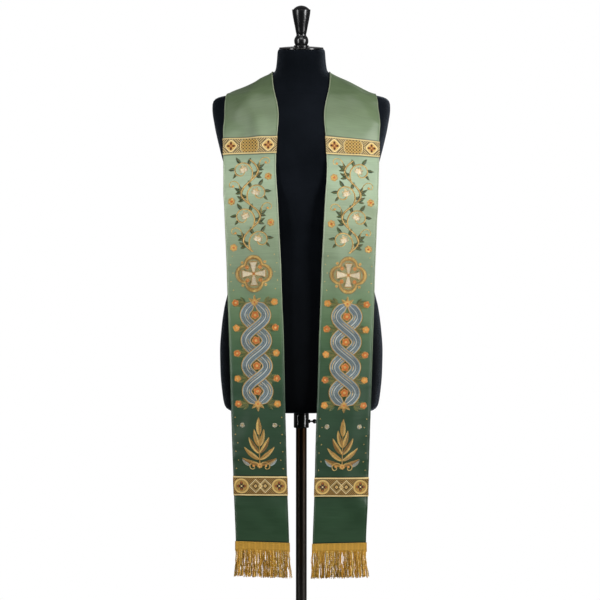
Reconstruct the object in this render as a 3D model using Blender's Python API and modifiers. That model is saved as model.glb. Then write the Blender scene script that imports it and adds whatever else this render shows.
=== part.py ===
"""Clerical stole worn on a limbless dress form with a pole stand.

Metres, +Z up. The origin is on the floor, at the middle of the round base. The form faces -Y.
The stole is two mirrored panels that meet at the centre back, each with two bands of galloon
and a fringe. The form turns and slides on the pole above a clamp collar.
"""

import math
from collections import namedtuple

import bmesh
import bpy
import numpy as np
from mathutils import Matrix, Vector
from mathutils.bvhtree import BVHTree

# ---------------------------------------------------------------- driving dimensions
SEAM_GAP = 0.0003  # between pieces that meet or lie on each other

BASE_RADIUS = 0.180
BASE_EDGE = 0.008  # height of the base plate's rim
BASE_DOME = 0.020  # height of the plate where it meets the socket
SOCKET_RADIUS = 0.021
SOCKET_TOP = 0.058
SOCKET_FLOOR = 0.012

POLE_RADIUS = 0.0125
BORE_RADIUS = 0.0129
POLE_TOP = 0.967
HEIGHT_TRAVEL = 0.200  # how far the form can be raised

TORSO_BOTTOM = 0.687
NECK_TOP = 1.519
NECK_CENTRE_Y = 0.0045  # the neck stands a little behind the pole's line
NECK_SLOPE = math.radians(10.5)  # the neck's top is lower in front

COLLAR_RADIUS = 0.0174
COLLAR_HEIGHT = 0.0390
CLAMP_Z = 0.6625
CLAMP_BOSS_RADIUS = 0.0042
CLAMP_BOSS_END = 0.0208
CLAMP_STEM_RADIUS = 0.0020
CLAMP_HOLE_RADIUS = 0.0024
CLAMP_BALL_RADIUS = 0.0052
CLAMP_BALL_X = 0.0306

CAP_RADIUS = 0.0510
CAP_EDGE = 0.0035
CAP_RISE = 0.0025
HANDLE_TOP = 0.0991  # above the neck's top

CLOTH = 0.0020  # two layers of satin over an interlining
GALLOON = 0.0010
HEADING = 0.0016
PANEL_COLUMNS = 6
FRINGE_LENGTH = 0.0600
FRINGE_STRANDS = 42
HEADING_OVERHANG = 0.012  # share of the panel's width that the heading passes each edge by

ROUND_STEPS = 32

# ---------------------------------------------------------------- scene and helpers
for leftover in list(bpy.data.objects):
    bpy.data.objects.remove(leftover)


def new_collection(name):
    made = bpy.data.collections.new(name)
    bpy.context.scene.collection.children.link(made)
    return made


PARTS = new_collection("clerical_stole_on_dress_form")
CUTTERS = new_collection("cutters")


def material(name, colour, roughness, metallic=0.0):
    made = bpy.data.materials.new(name)
    made.use_nodes = True
    shader = made.node_tree.nodes["Principled BSDF"]
    shader.inputs["Base Color"].default_value = (*colour, 1.0)
    shader.inputs["Roughness"].default_value = roughness
    shader.inputs["Metallic"].default_value = metallic
    return made


JERSEY = material("black_jersey", (0.010, 0.011, 0.014), 0.85)
BLACK_ENAMEL = material("black_enamel", (0.012, 0.012, 0.012), 0.30)
BRONZED_TUBE = material("bronzed_tube", (0.045, 0.030, 0.022), 0.35, 0.8)
GREEN_SATIN = material("green_satin", (0.130, 0.240, 0.130), 0.50)
GOLD_GALLOON = material("gold_galloon", (0.560, 0.400, 0.170), 0.50)
GOLD_FRINGE = material("gold_fringe", (0.480, 0.300, 0.060), 0.55)


def object_from(name, mesh, finish, collection=PARTS):
    made = bpy.data.objects.new(name, mesh)
    collection.objects.link(made)
    mesh.materials.append(finish)
    return made


def mesh_from(name, points, faces, smooth_angle=None):
    """A closed mesh with its faces turned outwards."""
    mesh = bpy.data.meshes.new(name)
    mesh.from_pydata([tuple(p) for p in points], [], faces)
    work = bmesh.new()
    work.from_mesh(mesh)
    bmesh.ops.recalc_face_normals(work, faces=work.faces)
    work.to_mesh(mesh)
    work.free()
    if smooth_angle is not None:
        mesh.shade_smooth()
        mesh.set_sharp_from_angle(angle=math.radians(smooth_angle))
    return mesh


def turned(name, profile, finish, steps=ROUND_STEPS, closed=False, collection=PARTS):
    """A turned piece about Z. The profile is (radius, height) points, down the outer side."""
    mesh = bpy.data.meshes.new(name)
    count = len(profile)
    edges = [(i, i + 1) for i in range(count - 1)]
    if closed:
        edges.append((count - 1, 0))
    mesh.from_pydata([(radius, 0.0, height) for radius, height in profile], edges, [])
    made = object_from(name, mesh, finish, collection)
    screw = made.modifiers.new("turning", "SCREW")
    screw.axis = "Z"
    screw.angle = math.tau
    screw.steps = screw.render_steps = steps
    screw.use_merge_vertices = True
    screw.merge_threshold = 0.00001
    screw.use_smooth_shade = True
    return made


def arc(centre, radius, start, end, count):
    """Points along an arc of a profile, by angle in degrees from +radius towards +height."""
    turns = [math.radians(start + (end - start) * i / (count - 1)) for i in range(count)]
    return [(centre[0] + radius * math.cos(t), centre[1] + radius * math.sin(t)) for t in turns]


def cylinder(name, radius, depth, centre, finish, along_x=False, collection=PARTS):
    bpy.ops.mesh.primitive_cylinder_add(
        vertices=ROUND_STEPS,
        radius=radius,
        depth=depth,
        location=centre,
        rotation=(0.0, math.pi / 2 if along_x else 0.0, 0.0),
    )
    made = bpy.context.object
    made.name = name
    for owner in list(made.users_collection):
        owner.objects.unlink(made)
    collection.objects.link(made)
    made.data.materials.append(finish)
    return made


def cutter(name, radius, depth, centre, along_x=False):
    made = cylinder(name, radius, depth, centre, BLACK_ENAMEL, along_x, CUTTERS)
    made.hide_render = True
    made.display_type = "WIRE"
    return made


def boolean(target, tool, operation):
    change = target.modifiers.new(f"{operation.lower()}_{tool.name}", "BOOLEAN")
    change.operation = operation
    change.solver = "EXACT"
    change.object = tool


def smooth_columns(table, where):
    """Reads every column of a table at the distances asked for, with no overshoot.

    The table's first column is the distance. It is Fritsch and Carlson's monotone cubic.
    """
    table = np.array(table, float)
    along, values = table[:, 0], table[:, 1:]
    step = np.diff(along)[:, None]
    slope = np.diff(values, axis=0) / step
    tangent = np.zeros_like(values)
    tangent[0], tangent[-1] = slope[0], slope[-1]
    same_way = slope[:-1] * slope[1:] > 0
    with np.errstate(divide="ignore", invalid="ignore"):
        weight_a = 2 * step[1:] + step[:-1]
        weight_b = step[1:] + 2 * step[:-1]
        mean = (weight_a + weight_b) / (weight_a / slope[:-1] + weight_b / slope[1:])
    tangent[1:-1] = np.where(same_way, mean, 0.0)
    where = np.clip(np.array(where, float), along[0], along[-1])
    span = np.clip(np.searchsorted(along, where, side="right") - 1, 0, len(along) - 2)
    part = ((where - along[span]) / step[span, 0])[:, None]
    return (
        (1 + 2 * part) * (1 - part) ** 2 * values[span]
        + part * (1 - part) ** 2 * step[span] * tangent[span]
        + part**2 * (3 - 2 * part) * values[span + 1]
        + part**2 * (part - 1) * step[span] * tangent[span + 1]
    )


# ---------------------------------------------------------------- dress form
FormSection = namedtuple("FormSection", "z half_width front back squareness")
FORM_SECTIONS = (
    FormSection(TORSO_BOTTOM, 0.1590, 0.0910, 0.1010, 2.5),
    FormSection(0.6893, 0.1655, 0.0945, 0.1050, 2.5),
    FormSection(0.6931, 0.1712, 0.0972, 0.1082, 2.5),
    FormSection(0.6990, 0.1756, 0.0998, 0.1112, 2.5),
    FormSection(0.7276, 0.1812, 0.1045, 0.1170, 2.5),
    FormSection(0.7782, 0.1858, 0.1075, 0.1210, 2.4),
    FormSection(0.8265, 0.1868, 0.1085, 0.1225, 2.4),
    FormSection(0.8725, 0.1838, 0.1085, 0.1200, 2.3),
    FormSection(0.9263, 0.1765, 0.1075, 0.1120, 2.3),
    FormSection(0.9530, 0.1700, 0.1060, 0.1070, 2.3),
    FormSection(1.0100, 0.1560, 0.1025, 0.0960, 2.2),
    FormSection(1.0850, 0.1440, 0.1000, 0.0890, 2.2),
    FormSection(1.1500, 0.1500, 0.1060, 0.0940, 2.2),
    FormSection(1.2100, 0.1660, 0.1155, 0.1030, 2.3),
    FormSection(1.2680, 0.1820, 0.1125, 0.1105, 2.3),
    FormSection(1.2934, 0.1886, 0.1075, 0.1115, 2.3),
    FormSection(1.3429, 0.1995, 0.0945, 0.1085, 2.2),
    FormSection(1.3808, 0.2046, 0.0830, 0.1010, 2.1),
    FormSection(1.3916, 0.2042, 0.0795, 0.0980, 2.1),
    FormSection(1.3997, 0.2012, 0.0770, 0.0950, 2.0),
    FormSection(1.4060, 0.1922, 0.0750, 0.0930, 2.0),
    FormSection(1.4120, 0.1650, 0.0720, 0.0900, 2.0),
    FormSection(1.4218, 0.1415, 0.0685, 0.0865, 2.0),
    FormSection(1.4318, 0.1205, 0.0650, 0.0825, 2.0),
    FormSection(1.4422, 0.1000, 0.0620, 0.0775, 2.0),
    FormSection(1.4570, 0.0710, 0.0580, 0.0705, 2.0),
    FormSection(1.4700, 0.0594, 0.0550, 0.0655, 2.0),
    FormSection(1.4935, 0.0561, 0.0525, 0.0622, 2.0),
    FormSection(1.5152, 0.0542, 0.0508, 0.0602, 2.0),
    FormSection(NECK_TOP, 0.0518, 0.0490, 0.0578, 2.0),
)
SLOPE_START = 1.468
FORM_RINGS = 46
FORM_SEGMENTS = 40


def form_ring(z, half_width, front, back, squareness):
    """One outline of the form: two half ellipses, squared off by the exponent. It is level up
    to the neck, and turns there to the slope of the neck's top."""
    points = []
    share = min(1.0, max(0.0, (z - SLOPE_START) / (NECK_TOP - SLOPE_START)))
    slope = math.tan(NECK_SLOPE) * share * share * (3 - 2 * share)
    for i in range(FORM_SEGMENTS):
        turn = math.tau * i / FORM_SEGMENTS
        across, deep = math.cos(turn), math.sin(turn)
        depth = back if deep > 0 else front
        power = 2.0 / squareness
        x = half_width * math.copysign(abs(across) ** power, across)
        y = depth * math.copysign(abs(deep) ** power, deep)
        points.append((x, y, z + slope * (y - NECK_CENTRE_Y)))
    return points


def form_mesh():
    """The torso and neck, lofted through the sections at even steps along the side outline."""
    sections = np.array(FORM_SECTIONS, float)
    steps = np.hypot(np.diff(sections[:, 0]), np.diff(sections[:, 1]))
    along = np.concatenate([[0.0], np.cumsum(steps)])
    table = np.column_stack([along, sections])
    stations = set(np.linspace(0.0, along[-1], FORM_RINGS))
    stations |= {along[1], along[-2]}
    rings = [form_ring(*row) for row in smooth_columns(table, sorted(stations))]
    points = [p for ring in rings for p in ring]
    count = FORM_SEGMENTS
    faces = [tuple(reversed(range(count)))]
    for level in range(len(rings) - 1):
        low, high = level * count, (level + 1) * count
        for i in range(count):
            j = (i + 1) % count
            faces.append((low + i, low + j, high + j, high + i))
    top = (len(rings) - 1) * count
    faces.append(tuple(range(top, top + count)))
    return mesh_from("form_body", points, faces, smooth_angle=40)


def build_form():
    body = object_from("form_body", form_mesh(), JERSEY)
    # The outline's tree is taken before the pole's bore is cut.
    outline = BVHTree.FromPolygons(
        [v.co.copy() for v in body.data.vertices],
        [tuple(f.vertices) for f in body.data.polygons],
    )
    bore_top = POLE_TOP + SEAM_GAP
    bore_low = TORSO_BOTTOM - 0.02
    bore = cutter("pole_bore", BORE_RADIUS, bore_top - bore_low, (0, 0, (bore_top + bore_low) / 2))
    boolean(body, bore, "DIFFERENCE")
    return outline


def build_neck_fittings():
    """The neck's cap plate and the turned handle on it, square to the neck's sloping top."""
    low = SEAM_GAP
    plate = [
        (0.0, low + CAP_EDGE + CAP_RISE),
        (0.0182, low + CAP_EDGE + CAP_RISE),
        (CAP_RADIUS - 0.0012, low + CAP_EDGE),
        (CAP_RADIUS, low + CAP_EDGE - 0.0010),
        (CAP_RADIUS, low + 0.0012),
        (CAP_RADIUS - 0.0012, low),
        (0.0, low),
    ]
    foot = low + CAP_EDGE + CAP_RISE + SEAM_GAP
    profile = [(0.0, HANDLE_TOP)]
    profile += arc((0.0, HANDLE_TOP - 0.0240), 0.0240, 80, 44, 5)
    profile += [
        (0.0206, 0.0898),
        (0.0204, 0.0875),
        (0.0200, 0.0830),
        (0.0173, 0.0669),
        (0.0136, 0.0485),
        (0.0120, 0.0393),
        (0.0108, 0.0332),
    ]
    profile += arc((0.0, 0.0186), 0.0158, 44, -36, 7)
    profile += [(0.0140, foot + 0.0019), (0.0172, foot + 0.0010), (0.0172, foot), (0.0, foot)]
    cap = turned("neck_cap", plate, BLACK_ENAMEL)
    handle = turned("neck_finial", profile, BLACK_ENAMEL, steps=24)
    for piece in (cap, handle):
        piece.location = (0.0, NECK_CENTRE_Y, NECK_TOP)
        piece.rotation_euler.x = NECK_SLOPE


# ---------------------------------------------------------------- stand
def build_stand():
    """A round steel plate with a socket, and the tube that stands in it."""
    plate = [
        (0.0, SOCKET_FLOOR),
        (BORE_RADIUS, SOCKET_FLOOR),
        (BORE_RADIUS, SOCKET_TOP),
        (SOCKET_RADIUS - 0.0015, SOCKET_TOP),
        (SOCKET_RADIUS, SOCKET_TOP - 0.0015),
        (SOCKET_RADIUS, BASE_DOME + 0.0060),
        (SOCKET_RADIUS + 0.0060, BASE_DOME),
        (BASE_RADIUS * 0.55, BASE_EDGE + 0.0070),
        (BASE_RADIUS - 0.0050, BASE_EDGE),
        (BASE_RADIUS - 0.0010, BASE_EDGE - 0.0020),
        (BASE_RADIUS, BASE_EDGE - 0.0045),
        (BASE_RADIUS, 0.0),
        (0.0, 0.0),
    ]
    turned("base", plate, BLACK_ENAMEL, steps=48)
    low = SOCKET_FLOOR + SEAM_GAP
    cylinder("pole", POLE_RADIUS, POLE_TOP - low, (0, 0, (POLE_TOP + low) / 2), BRONZED_TUBE)


def build_clamp():
    """The collar under the form, with its threaded boss, and the ball-headed clamp screw."""
    top = TORSO_BOTTOM - SEAM_GAP
    bottom = top - COLLAR_HEIGHT
    ring = [
        (COLLAR_RADIUS, top),
        (COLLAR_RADIUS, bottom + 0.0020),
        (COLLAR_RADIUS - 0.0020, bottom),
        (BORE_RADIUS, bottom),
        (BORE_RADIUS, top),
    ]
    collar = turned("clamp_collar", ring, BLACK_ENAMEL, closed=True)
    boss_start = COLLAR_RADIUS - 0.0025
    boss_middle = ((boss_start + CLAMP_BOSS_END) / 2, 0, CLAMP_Z)
    boss_length = CLAMP_BOSS_END - boss_start
    boss = cutter("clamp_boss", CLAMP_BOSS_RADIUS, boss_length, boss_middle, True)
    boolean(collar, boss, "UNION")
    hole = cutter("clamp_hole", CLAMP_HOLE_RADIUS, 0.020, (0.0180, 0, CLAMP_Z), True)
    boolean(collar, hole, "DIFFERENCE")

    tip = POLE_RADIUS + SEAM_GAP - CLAMP_BALL_X
    neck_angle = math.degrees(math.asin(CLAMP_STEM_RADIUS / CLAMP_BALL_RADIUS))
    profile = arc((0.0, 0.0), CLAMP_BALL_RADIUS, 90, neck_angle - 90, 10)
    profile[0] = (0.0, CLAMP_BALL_RADIUS)
    profile += [(CLAMP_STEM_RADIUS, tip), (0.0, tip)]
    screw = turned("clamp_screw", profile, BLACK_ENAMEL, steps=20)
    screw.rotation_euler = (0.0, math.pi / 2, 0.0)
    screw.location = (CLAMP_BALL_X, 0.0, CLAMP_Z)


# ---------------------------------------------------------------- stole: how the cloth lies
CLEARANCE = 0.0009  # least distance of the cloth's inside from the form

# Back of the neck: one row at each angle round the neck, from the centre back (90) to the
# shoulder ridge (0). The inner edge follows the neck and the outer edge lies on the back.
BackRow = namedtuple("BackRow", "angle inner_x inner_y inner_z outer_x outer_y outer_z")
BACK_ROWS = (
    BackRow(90.0, 0.0000, 0.0760, 1.4620, 0.0000, 0.1130, 1.3640),
    BackRow(75.0, 0.0170, 0.0745, 1.4622, 0.0420, 0.1110, 1.3660),
    BackRow(60.0, 0.0330, 0.0690, 1.4628, 0.0800, 0.1040, 1.3720),
    BackRow(45.0, 0.0460, 0.0580, 1.4636, 0.1130, 0.0900, 1.3815),
    BackRow(30.0, 0.0555, 0.0420, 1.4645, 0.1400, 0.0680, 1.3935),
    BackRow(15.0, 0.0610, 0.0220, 1.4655, 0.1590, 0.0360, 1.4065),
)
BACK_CELLS = 9  # rows from the centre back to the ridge

# Front of the stole, from the shoulder ridge to the hem. Inner is the neck side. outer_y is
# how far forward the outer edge hangs. The lifts are how much higher the right panel's two
# edges lie than the left's, as the two weren't hung quite evenly. cells is how many rows the
# stretch below gets.
FrontRow = namedtuple(
    "FrontRow", "name inner_x inner_z outer_x outer_z outer_y inner_lift outer_lift cells"
)
FRONT_ROWS = (
    FrontRow("ridge", 0.0630, 1.4655, 0.1668, 1.4140, 0.0000, 0.0000, 0.0000, 5),
    FrontRow("shoulder_high", 0.0643, 1.4385, 0.1717, 1.3975, -0.0230, 0.0000, 0.0005, 1),
    FrontRow("shoulder_mid", 0.0606, 1.4116, 0.1731, 1.3754, -0.0365, 0.0000, 0.0015, 1),
    FrontRow("shoulder_low", 0.0538, 1.3870, 0.1738, 1.3555, -0.0470, 0.0000, 0.0030, 1),
    FrontRow("breast_high", 0.0500, 1.3613, 0.1742, 1.3355, -0.0560, 0.0000, 0.0045, 1),
    FrontRow("breast_mid", 0.0513, 1.3357, 0.1745, 1.3167, -0.0640, 0.0000, 0.0060, 1),
    FrontRow("upper_band_top", 0.0541, 1.3062, 0.1748, 1.2973, -0.0715, 0.0000, 0.0070, 2),
    FrontRow("upper_band_bottom", 0.0560, 1.2670, 0.1751, 1.2625, -0.0835, 0.0030, 0.0045, 2),
    FrontRow("chest", 0.0566, 1.2270, 0.1740, 1.2225, -0.0930, 0.0030, 0.0035, 2),
    FrontRow("under_chest", 0.0528, 1.1731, 0.1715, 1.1653, -0.1020, 0.0025, 0.0030, 3),
    FrontRow("waist_high", 0.0490, 1.0974, 0.1684, 1.0907, -0.1085, 0.0025, 0.0030, 3),
    FrontRow("waist_low", 0.0452, 1.0239, 0.1652, 1.0183, -0.1120, 0.0025, 0.0030, 3),
    FrontRow("hip_high", 0.0428, 0.9504, 0.1628, 0.9460, -0.1140, 0.0025, 0.0030, 4),
    FrontRow("hip_low", 0.0385, 0.8391, 0.1590, 0.8368, -0.1155, 0.0025, 0.0030, 4),
    FrontRow("below_hip", 0.0363, 0.7277, 0.1557, 0.7266, -0.1160, 0.0025, 0.0030, 3),
    FrontRow("free_high", 0.0336, 0.6342, 0.1528, 0.6342, -0.1165, 0.0025, 0.0030, 3),
    FrontRow("lower_band_top", 0.0316, 0.5462, 0.1497, 0.5462, -0.1170, 0.0025, 0.0030, 2),
    FrontRow("lower_band_bottom", 0.0305, 0.5042, 0.1483, 0.5042, -0.1170, 0.0018, 0.0020, 4),
    FrontRow("heading_top", 0.0267, 0.3990, 0.1443, 0.4012, -0.1170, 0.0020, 0.0030, 1),
    FrontRow("hem", 0.0265, 0.3784, 0.1445, 0.3806, -0.1170, 0.0020, 0.0030, 0),
)
HANG_Y = -0.1215  # the plane that the inner edge hangs in, below the chest

# Soft folds that lie lengthwise or slantwise in a panel: where the middle is, as a distance
# down from the ridge and a share of the width, then half length, half breadth, height, slant.
Fold = namedtuple("Fold", "down across half_length half_breadth height slant")
FOLDS = {
    +1: (
        Fold(0.085, 0.62, 0.060, 0.020, 0.0035, 40.0),
        Fold(0.330, 0.92, 0.060, 0.016, 0.0030, 80.0),
        Fold(0.480, 0.30, 0.160, 0.026, 0.0030, 4.0),
        Fold(0.760, 0.66, 0.190, 0.024, 0.0034, -5.0),
        Fold(0.990, 0.80, 0.070, 0.022, 0.0030, 30.0),
    ),
    -1: (
        Fold(0.070, 0.45, 0.055, 0.022, 0.0032, 30.0),
        Fold(0.300, 0.88, 0.055, 0.017, 0.0032, 75.0),
        Fold(0.520, 0.38, 0.170, 0.026, 0.0032, -4.0),
        Fold(0.800, 0.60, 0.180, 0.026, 0.0030, 6.0),
        Fold(1.010, 0.25, 0.060, 0.022, 0.0028, -25.0),
    ),
}
FOLD_CALM = 0.050  # folds die out this far above the heading


def onto_form(outline, point):
    """The point of the cloth's inside that lies on the form nearest to a guess."""
    place, normal, _, _ = outline.find_nearest(Vector(point))
    return np.array(place + normal * CLEARANCE)


def front_of_form(outline, x, z):
    """How far forward the form reaches at a place seen from the front, or None beside it."""
    place, _, _, _ = outline.ray_cast(Vector((x, -1.0, z)), Vector((0.0, 1.0, 0.0)))
    return None if place is None else place.y


def back_grid(outline):
    """Rows round the back of the neck, laid on the form."""
    table = [(90.0 - row.angle, *row[1:]) for row in BACK_ROWS]
    ridge = FRONT_ROWS[0]
    table.append((90.0, ridge.inner_x, 0.0, ridge.inner_z, ridge.outer_x, 0.0, ridge.outer_z))
    angles = np.linspace(0.0, 90.0, BACK_CELLS + 1)
    grid = []
    for row in smooth_columns(table, angles):
        inner, outer = row[:3], row[3:]
        guesses = [inner + (outer - inner) * i / PANEL_COLUMNS for i in range(PANEL_COLUMNS + 1)]
        grid.append([onto_form(outline, guess) for guess in guesses])
    for point in grid[0]:
        point[0] = SEAM_GAP / 2
    return grid


def front_stations():
    """Distances down the table of front rows, by row number, with the even steps between."""
    stations = []
    for number, row in enumerate(FRONT_ROWS[:-1]):
        for step in range(row.cells):
            share = step / row.cells
            # The stretch in front of the ridge is stepped closely at its top, as a quarter turn.
            stations.append(number + (1 - math.cos(share * math.pi / 2) if number == 0 else share))
    stations.append(len(FRONT_ROWS) - 1)
    return stations


def front_grid(outline, side):
    """Rows from just under the ridge to the hem. The cloth lies on the form where the form
    reaches it, and hangs straight from there."""
    table = [(number, *row[1:8]) for number, row in enumerate(FRONT_ROWS)]
    stations = front_stations()[1:]
    grid = []
    for station, values in zip(stations, smooth_columns(table, stations)):
        inner_x, inner_z, outer_x, outer_z, outer_y, inner_lift, outer_lift = values
        if side < 0:
            inner_z += inner_lift
            outer_z += outer_lift
        inner_front = front_of_form(outline, inner_x, inner_z) or 0.0
        chest_number = [row.name for row in FRONT_ROWS].index("chest")
        inner_y = HANG_Y if station >= chest_number else max(inner_front - CLEARANCE, HANG_Y)
        row = []
        for i in range(PANEL_COLUMNS + 1):
            share = i / PANEL_COLUMNS
            x = inner_x + (outer_x - inner_x) * share
            z = inner_z + (outer_z - inner_z) * share
            y = inner_y + (outer_y - inner_y) * share
            form_y = front_of_form(outline, x, z)
            if form_y is not None:
                y = min(y, form_y - CLEARANCE)
            row.append(np.array((x, y, z)))
        grid.append(row)
    return grid


def eased(grid, first, rounds):
    """Rows from the first one on, with their depth evened out down the cloth."""
    for _ in range(rounds):
        for i in range(len(grid[0])):
            depths = grid[:, i, 1].copy()
            evened = (depths[first - 1 : -2] + 2 * depths[first:-1] + depths[first + 1 :]) / 4
            grid[first:-1, i, 1] = evened
    return grid


# Where each half of a cell is tested against the form, as shares of its three corners.
HALF_TESTS = np.array(
    [(a / 4, b / 4, (4 - a - b) / 4) for a in range(5) for b in range(5 - a)]
)


def halves(rows, columns):
    """The two triangles of each cell of a grid, as (row, column) corners."""
    for r in range(rows - 1):
        for c in range(columns - 1):
            yield (r, c), (r, c + 1), (r + 1, c + 1)
            yield (r, c), (r + 1, c + 1), (r + 1, c)


def pushed_clear(outline, grid):
    """The grid moved out until every cell is clear of the form all over."""
    rows, columns = grid.shape[:2]
    for _ in range(8):
        for half in halves(rows, columns):
            corners = np.array([grid[corner] for corner in half])
            for weights in HALF_TESTS:
                test = Vector(weights @ corners)
                place, normal, _, _ = outline.find_nearest(test)
                short = CLEARANCE - (test - place).dot(normal)
                if short > 0:
                    for corner, weight in zip(half, weights):
                        grid[corner] += np.array(normal) * short * weight
        grid[0, :, 0] = SEAM_GAP / 2
    return grid


def outward(grid):
    """Unit normals of a grid, away from the form."""
    down = np.gradient(grid, axis=0)
    across = np.gradient(grid, axis=1)
    normals = np.cross(down, across)
    return normals / np.linalg.norm(normals, axis=2, keepdims=True)


def folded(grid, side):
    """The grid with its panel's soft folds raised."""
    ridge = BACK_CELLS
    middle = grid[:, PANEL_COLUMNS // 2]
    run = np.concatenate([[0.0], np.cumsum(np.linalg.norm(np.diff(middle, axis=0), axis=1))])
    down = (run - run[ridge])[:, None]
    width = np.linalg.norm(grid[:, -1] - grid[:, 0], axis=1)[:, None]
    share = np.linspace(0.0, 1.0, PANEL_COLUMNS + 1)[None, :]
    rise = np.zeros(grid.shape[:2])
    for fold in FOLDS[side]:
        turn = math.radians(fold.slant)
        along_x, along_y = (share - fold.across) * width, down - fold.down
        length = along_y * math.cos(turn) + along_x * math.sin(turn)
        breadth = along_x * math.cos(turn) - along_y * math.sin(turn)
        shape = np.exp(-((length / fold.half_length) ** 2) - (breadth / fold.half_breadth) ** 2)
        rise += fold.height * shape
    calm = np.clip((run[-2] - run) / FOLD_CALM, 0.0, 1.0)[:, None]
    return grid + outward(grid) * (rise * calm)[:, :, None]


def stole_grids(outline, side):
    """Inside and outside faces of one panel, on the +X side."""
    ridge_and_back = back_grid(outline)
    inside = np.array(ridge_and_back + front_grid(outline, side))
    inside = eased(inside, BACK_CELLS + 1, 3)
    inside = pushed_clear(outline, inside)
    inside = folded(inside, side)
    outside = inside + outward(inside) * CLOTH
    outside[0, :, 0] = SEAM_GAP / 2
    return inside, outside


def row_of(name):
    """Number of the grid row that lies on a named line."""
    number = [row.name for row in FRONT_ROWS].index(name)
    return BACK_CELLS + sum(row.cells for row in FRONT_ROWS[:number])


# ---------------------------------------------------------------- stole: pieces
def wall(name, inside, outside, side, finish, smooth_angle=50):
    """A closed piece of cloth between two grids of points, mirrored for the left side."""
    rows, columns = inside.shape[:2]
    mirror = np.array((side, 1.0, 1.0))
    points = np.concatenate([inside.reshape(-1, 3), outside.reshape(-1, 3)]) * mirror
    far = rows * columns

    def at(r, c, layer=0):
        return layer * far + r * columns + c

    faces = []
    for half in halves(rows, columns):
        faces.append(tuple(at(r, c) for r, c in half))
        faces.append(tuple(at(r, c, 1) for r, c in half))
    for r in range(rows - 1):
        for c in (0, columns - 1):
            faces.append((at(r, c), at(r + 1, c), at(r + 1, c, 1), at(r, c, 1)))
    for c in range(columns - 1):
        for r in (0, rows - 1):
            faces.append((at(r, c), at(r, c + 1), at(r, c + 1, 1), at(r, c, 1)))
    return object_from(name, mesh_from(name, points, faces, smooth_angle), finish)


def raised(outside, first, last, thickness):
    """Two faces of a piece that lies on a panel between two of its rows."""
    normals = outward(outside)
    part = slice(first, last + 1)
    low = outside[part] + normals[part] * SEAM_GAP
    return low, low + normals[part] * thickness


def lock_sway(share, number):
    """Sideways and forward drift of a fringe strand at its end, in metres. Neighbours drift
    almost alike, so the strands stand apart."""
    sideways = 0.0030 * (share - 0.5) * 2 + 0.0007 * math.sin(share * 21.0)
    forward = 0.0011 * math.sin(number * 2.4) + 0.0006 * math.sin(share * 9.0)
    return sideways, forward


def build_fringe(name, outside, side):
    """The braid heading with its strands, one closed body."""
    top, hem = row_of("heading_top"), row_of("hem")
    low, high = raised(outside, top, hem, HEADING)
    cells = 2 * FRINGE_STRANDS - 1
    strand_share = 0.68  # of each pitch
    shares = []
    for number in range(FRINGE_STRANDS):
        shares += [number, number + strand_share]
    shares = np.array(shares) / shares[-1]
    shares = shares * (1 + 2 * HEADING_OVERHANG) - HEADING_OVERHANG
    columns = np.linspace(0.0, 1.0, PANEL_COLUMNS + 1)

    def spread(row):
        """A row of points at the strands' edges, carried straight on past the panel's edge."""
        inner = row[0] + (row[0] - row[1]) * PANEL_COLUMNS * np.maximum(-shares, 0)[:, None]
        made = np.column_stack([np.interp(shares, columns, row[:, k]) for k in range(3)])
        made += inner - row[0]
        past = np.maximum(shares - 1.0, 0)[:, None]
        return made + (row[-1] - row[-2]) * PANEL_COLUMNS * past

    layers = [spread(row) for row in (low[0], high[0], low[-1], high[-1])]
    count = len(shares)
    points = [p for layer in layers for p in layer]

    def at(layer, i):
        return layer * count + i

    faces = []
    for i in range(cells):
        faces.append((at(0, i), at(0, i + 1), at(2, i + 1), at(2, i)))
        faces.append((at(1, i), at(1, i + 1), at(3, i + 1), at(3, i)))
        faces.append((at(0, i), at(0, i + 1), at(1, i + 1), at(1, i)))
        if i % 2:
            faces.append((at(2, i), at(2, i + 1), at(3, i + 1), at(3, i)))
    for i in (0, count - 1):
        faces.append((at(0, i), at(1, i), at(3, i), at(2, i)))
    for number in range(FRINGE_STRANDS):
        i = 2 * number
        root = [points[at(2, i)], points[at(2, i + 1)], points[at(3, i + 1)], points[at(3, i)]]
        ring = [at(2, i), at(2, i + 1), at(3, i + 1), at(3, i)]
        centre = sum(root) / 4
        share = number / (FRINGE_STRANDS - 1)
        sideways, forward = lock_sway(share, number)
        length = FRINGE_LENGTH + 0.0012 * math.sin(number * 1.7)
        for drop, thin in ((0.34, 0.92), (0.70, 0.86), (1.0, 0.62)):
            bend = drop * drop
            shift = np.array((sideways * bend, -forward * bend, -length * drop))
            start = len(points)
            points += [centre + (corner - centre) * thin + shift for corner in root]
            new = [start, start + 1, start + 2, start + 3]
            for k in range(4):
                m = (k + 1) % 4
                faces.append((ring[k], ring[m], new[m], new[k]))
            ring = new
        faces.append(tuple(ring))
    mirrored = [np.array(p) * np.array((side, 1.0, 1.0)) for p in points]
    object_from(name, mesh_from(name, mirrored, faces), GOLD_FRINGE)


def build_stole(outline):
    for side, word in ((+1, "left"), (-1, "right")):
        inside, outside = stole_grids(outline, side)
        wall(f"{word}_panel", inside, outside, side, GREEN_SATIN)
        for band in ("upper", "lower"):
            first, last = row_of(f"{band}_band_top"), row_of(f"{band}_band_bottom")
            low, high = raised(outside, first, last, GALLOON)
            wall(f"{word}_{band}_band", low, high, side, GOLD_GALLOON)
        build_fringe(f"{word}_fringe", outside, side)


# ---------------------------------------------------------------- build
build_stand()
build_clamp()
form_outline = build_form()
build_neck_fittings()
build_stole(form_outline)
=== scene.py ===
"""Clerical stole on a dress form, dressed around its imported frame. Metres, +Z up."""

from collections import namedtuple
from math import copysign, cos, pi, radians, sin, tan, tau

import bmesh
import bpy
import numpy as np
from mathutils import Matrix, Vector
from mathutils.bvhtree import BVHTree


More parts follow.
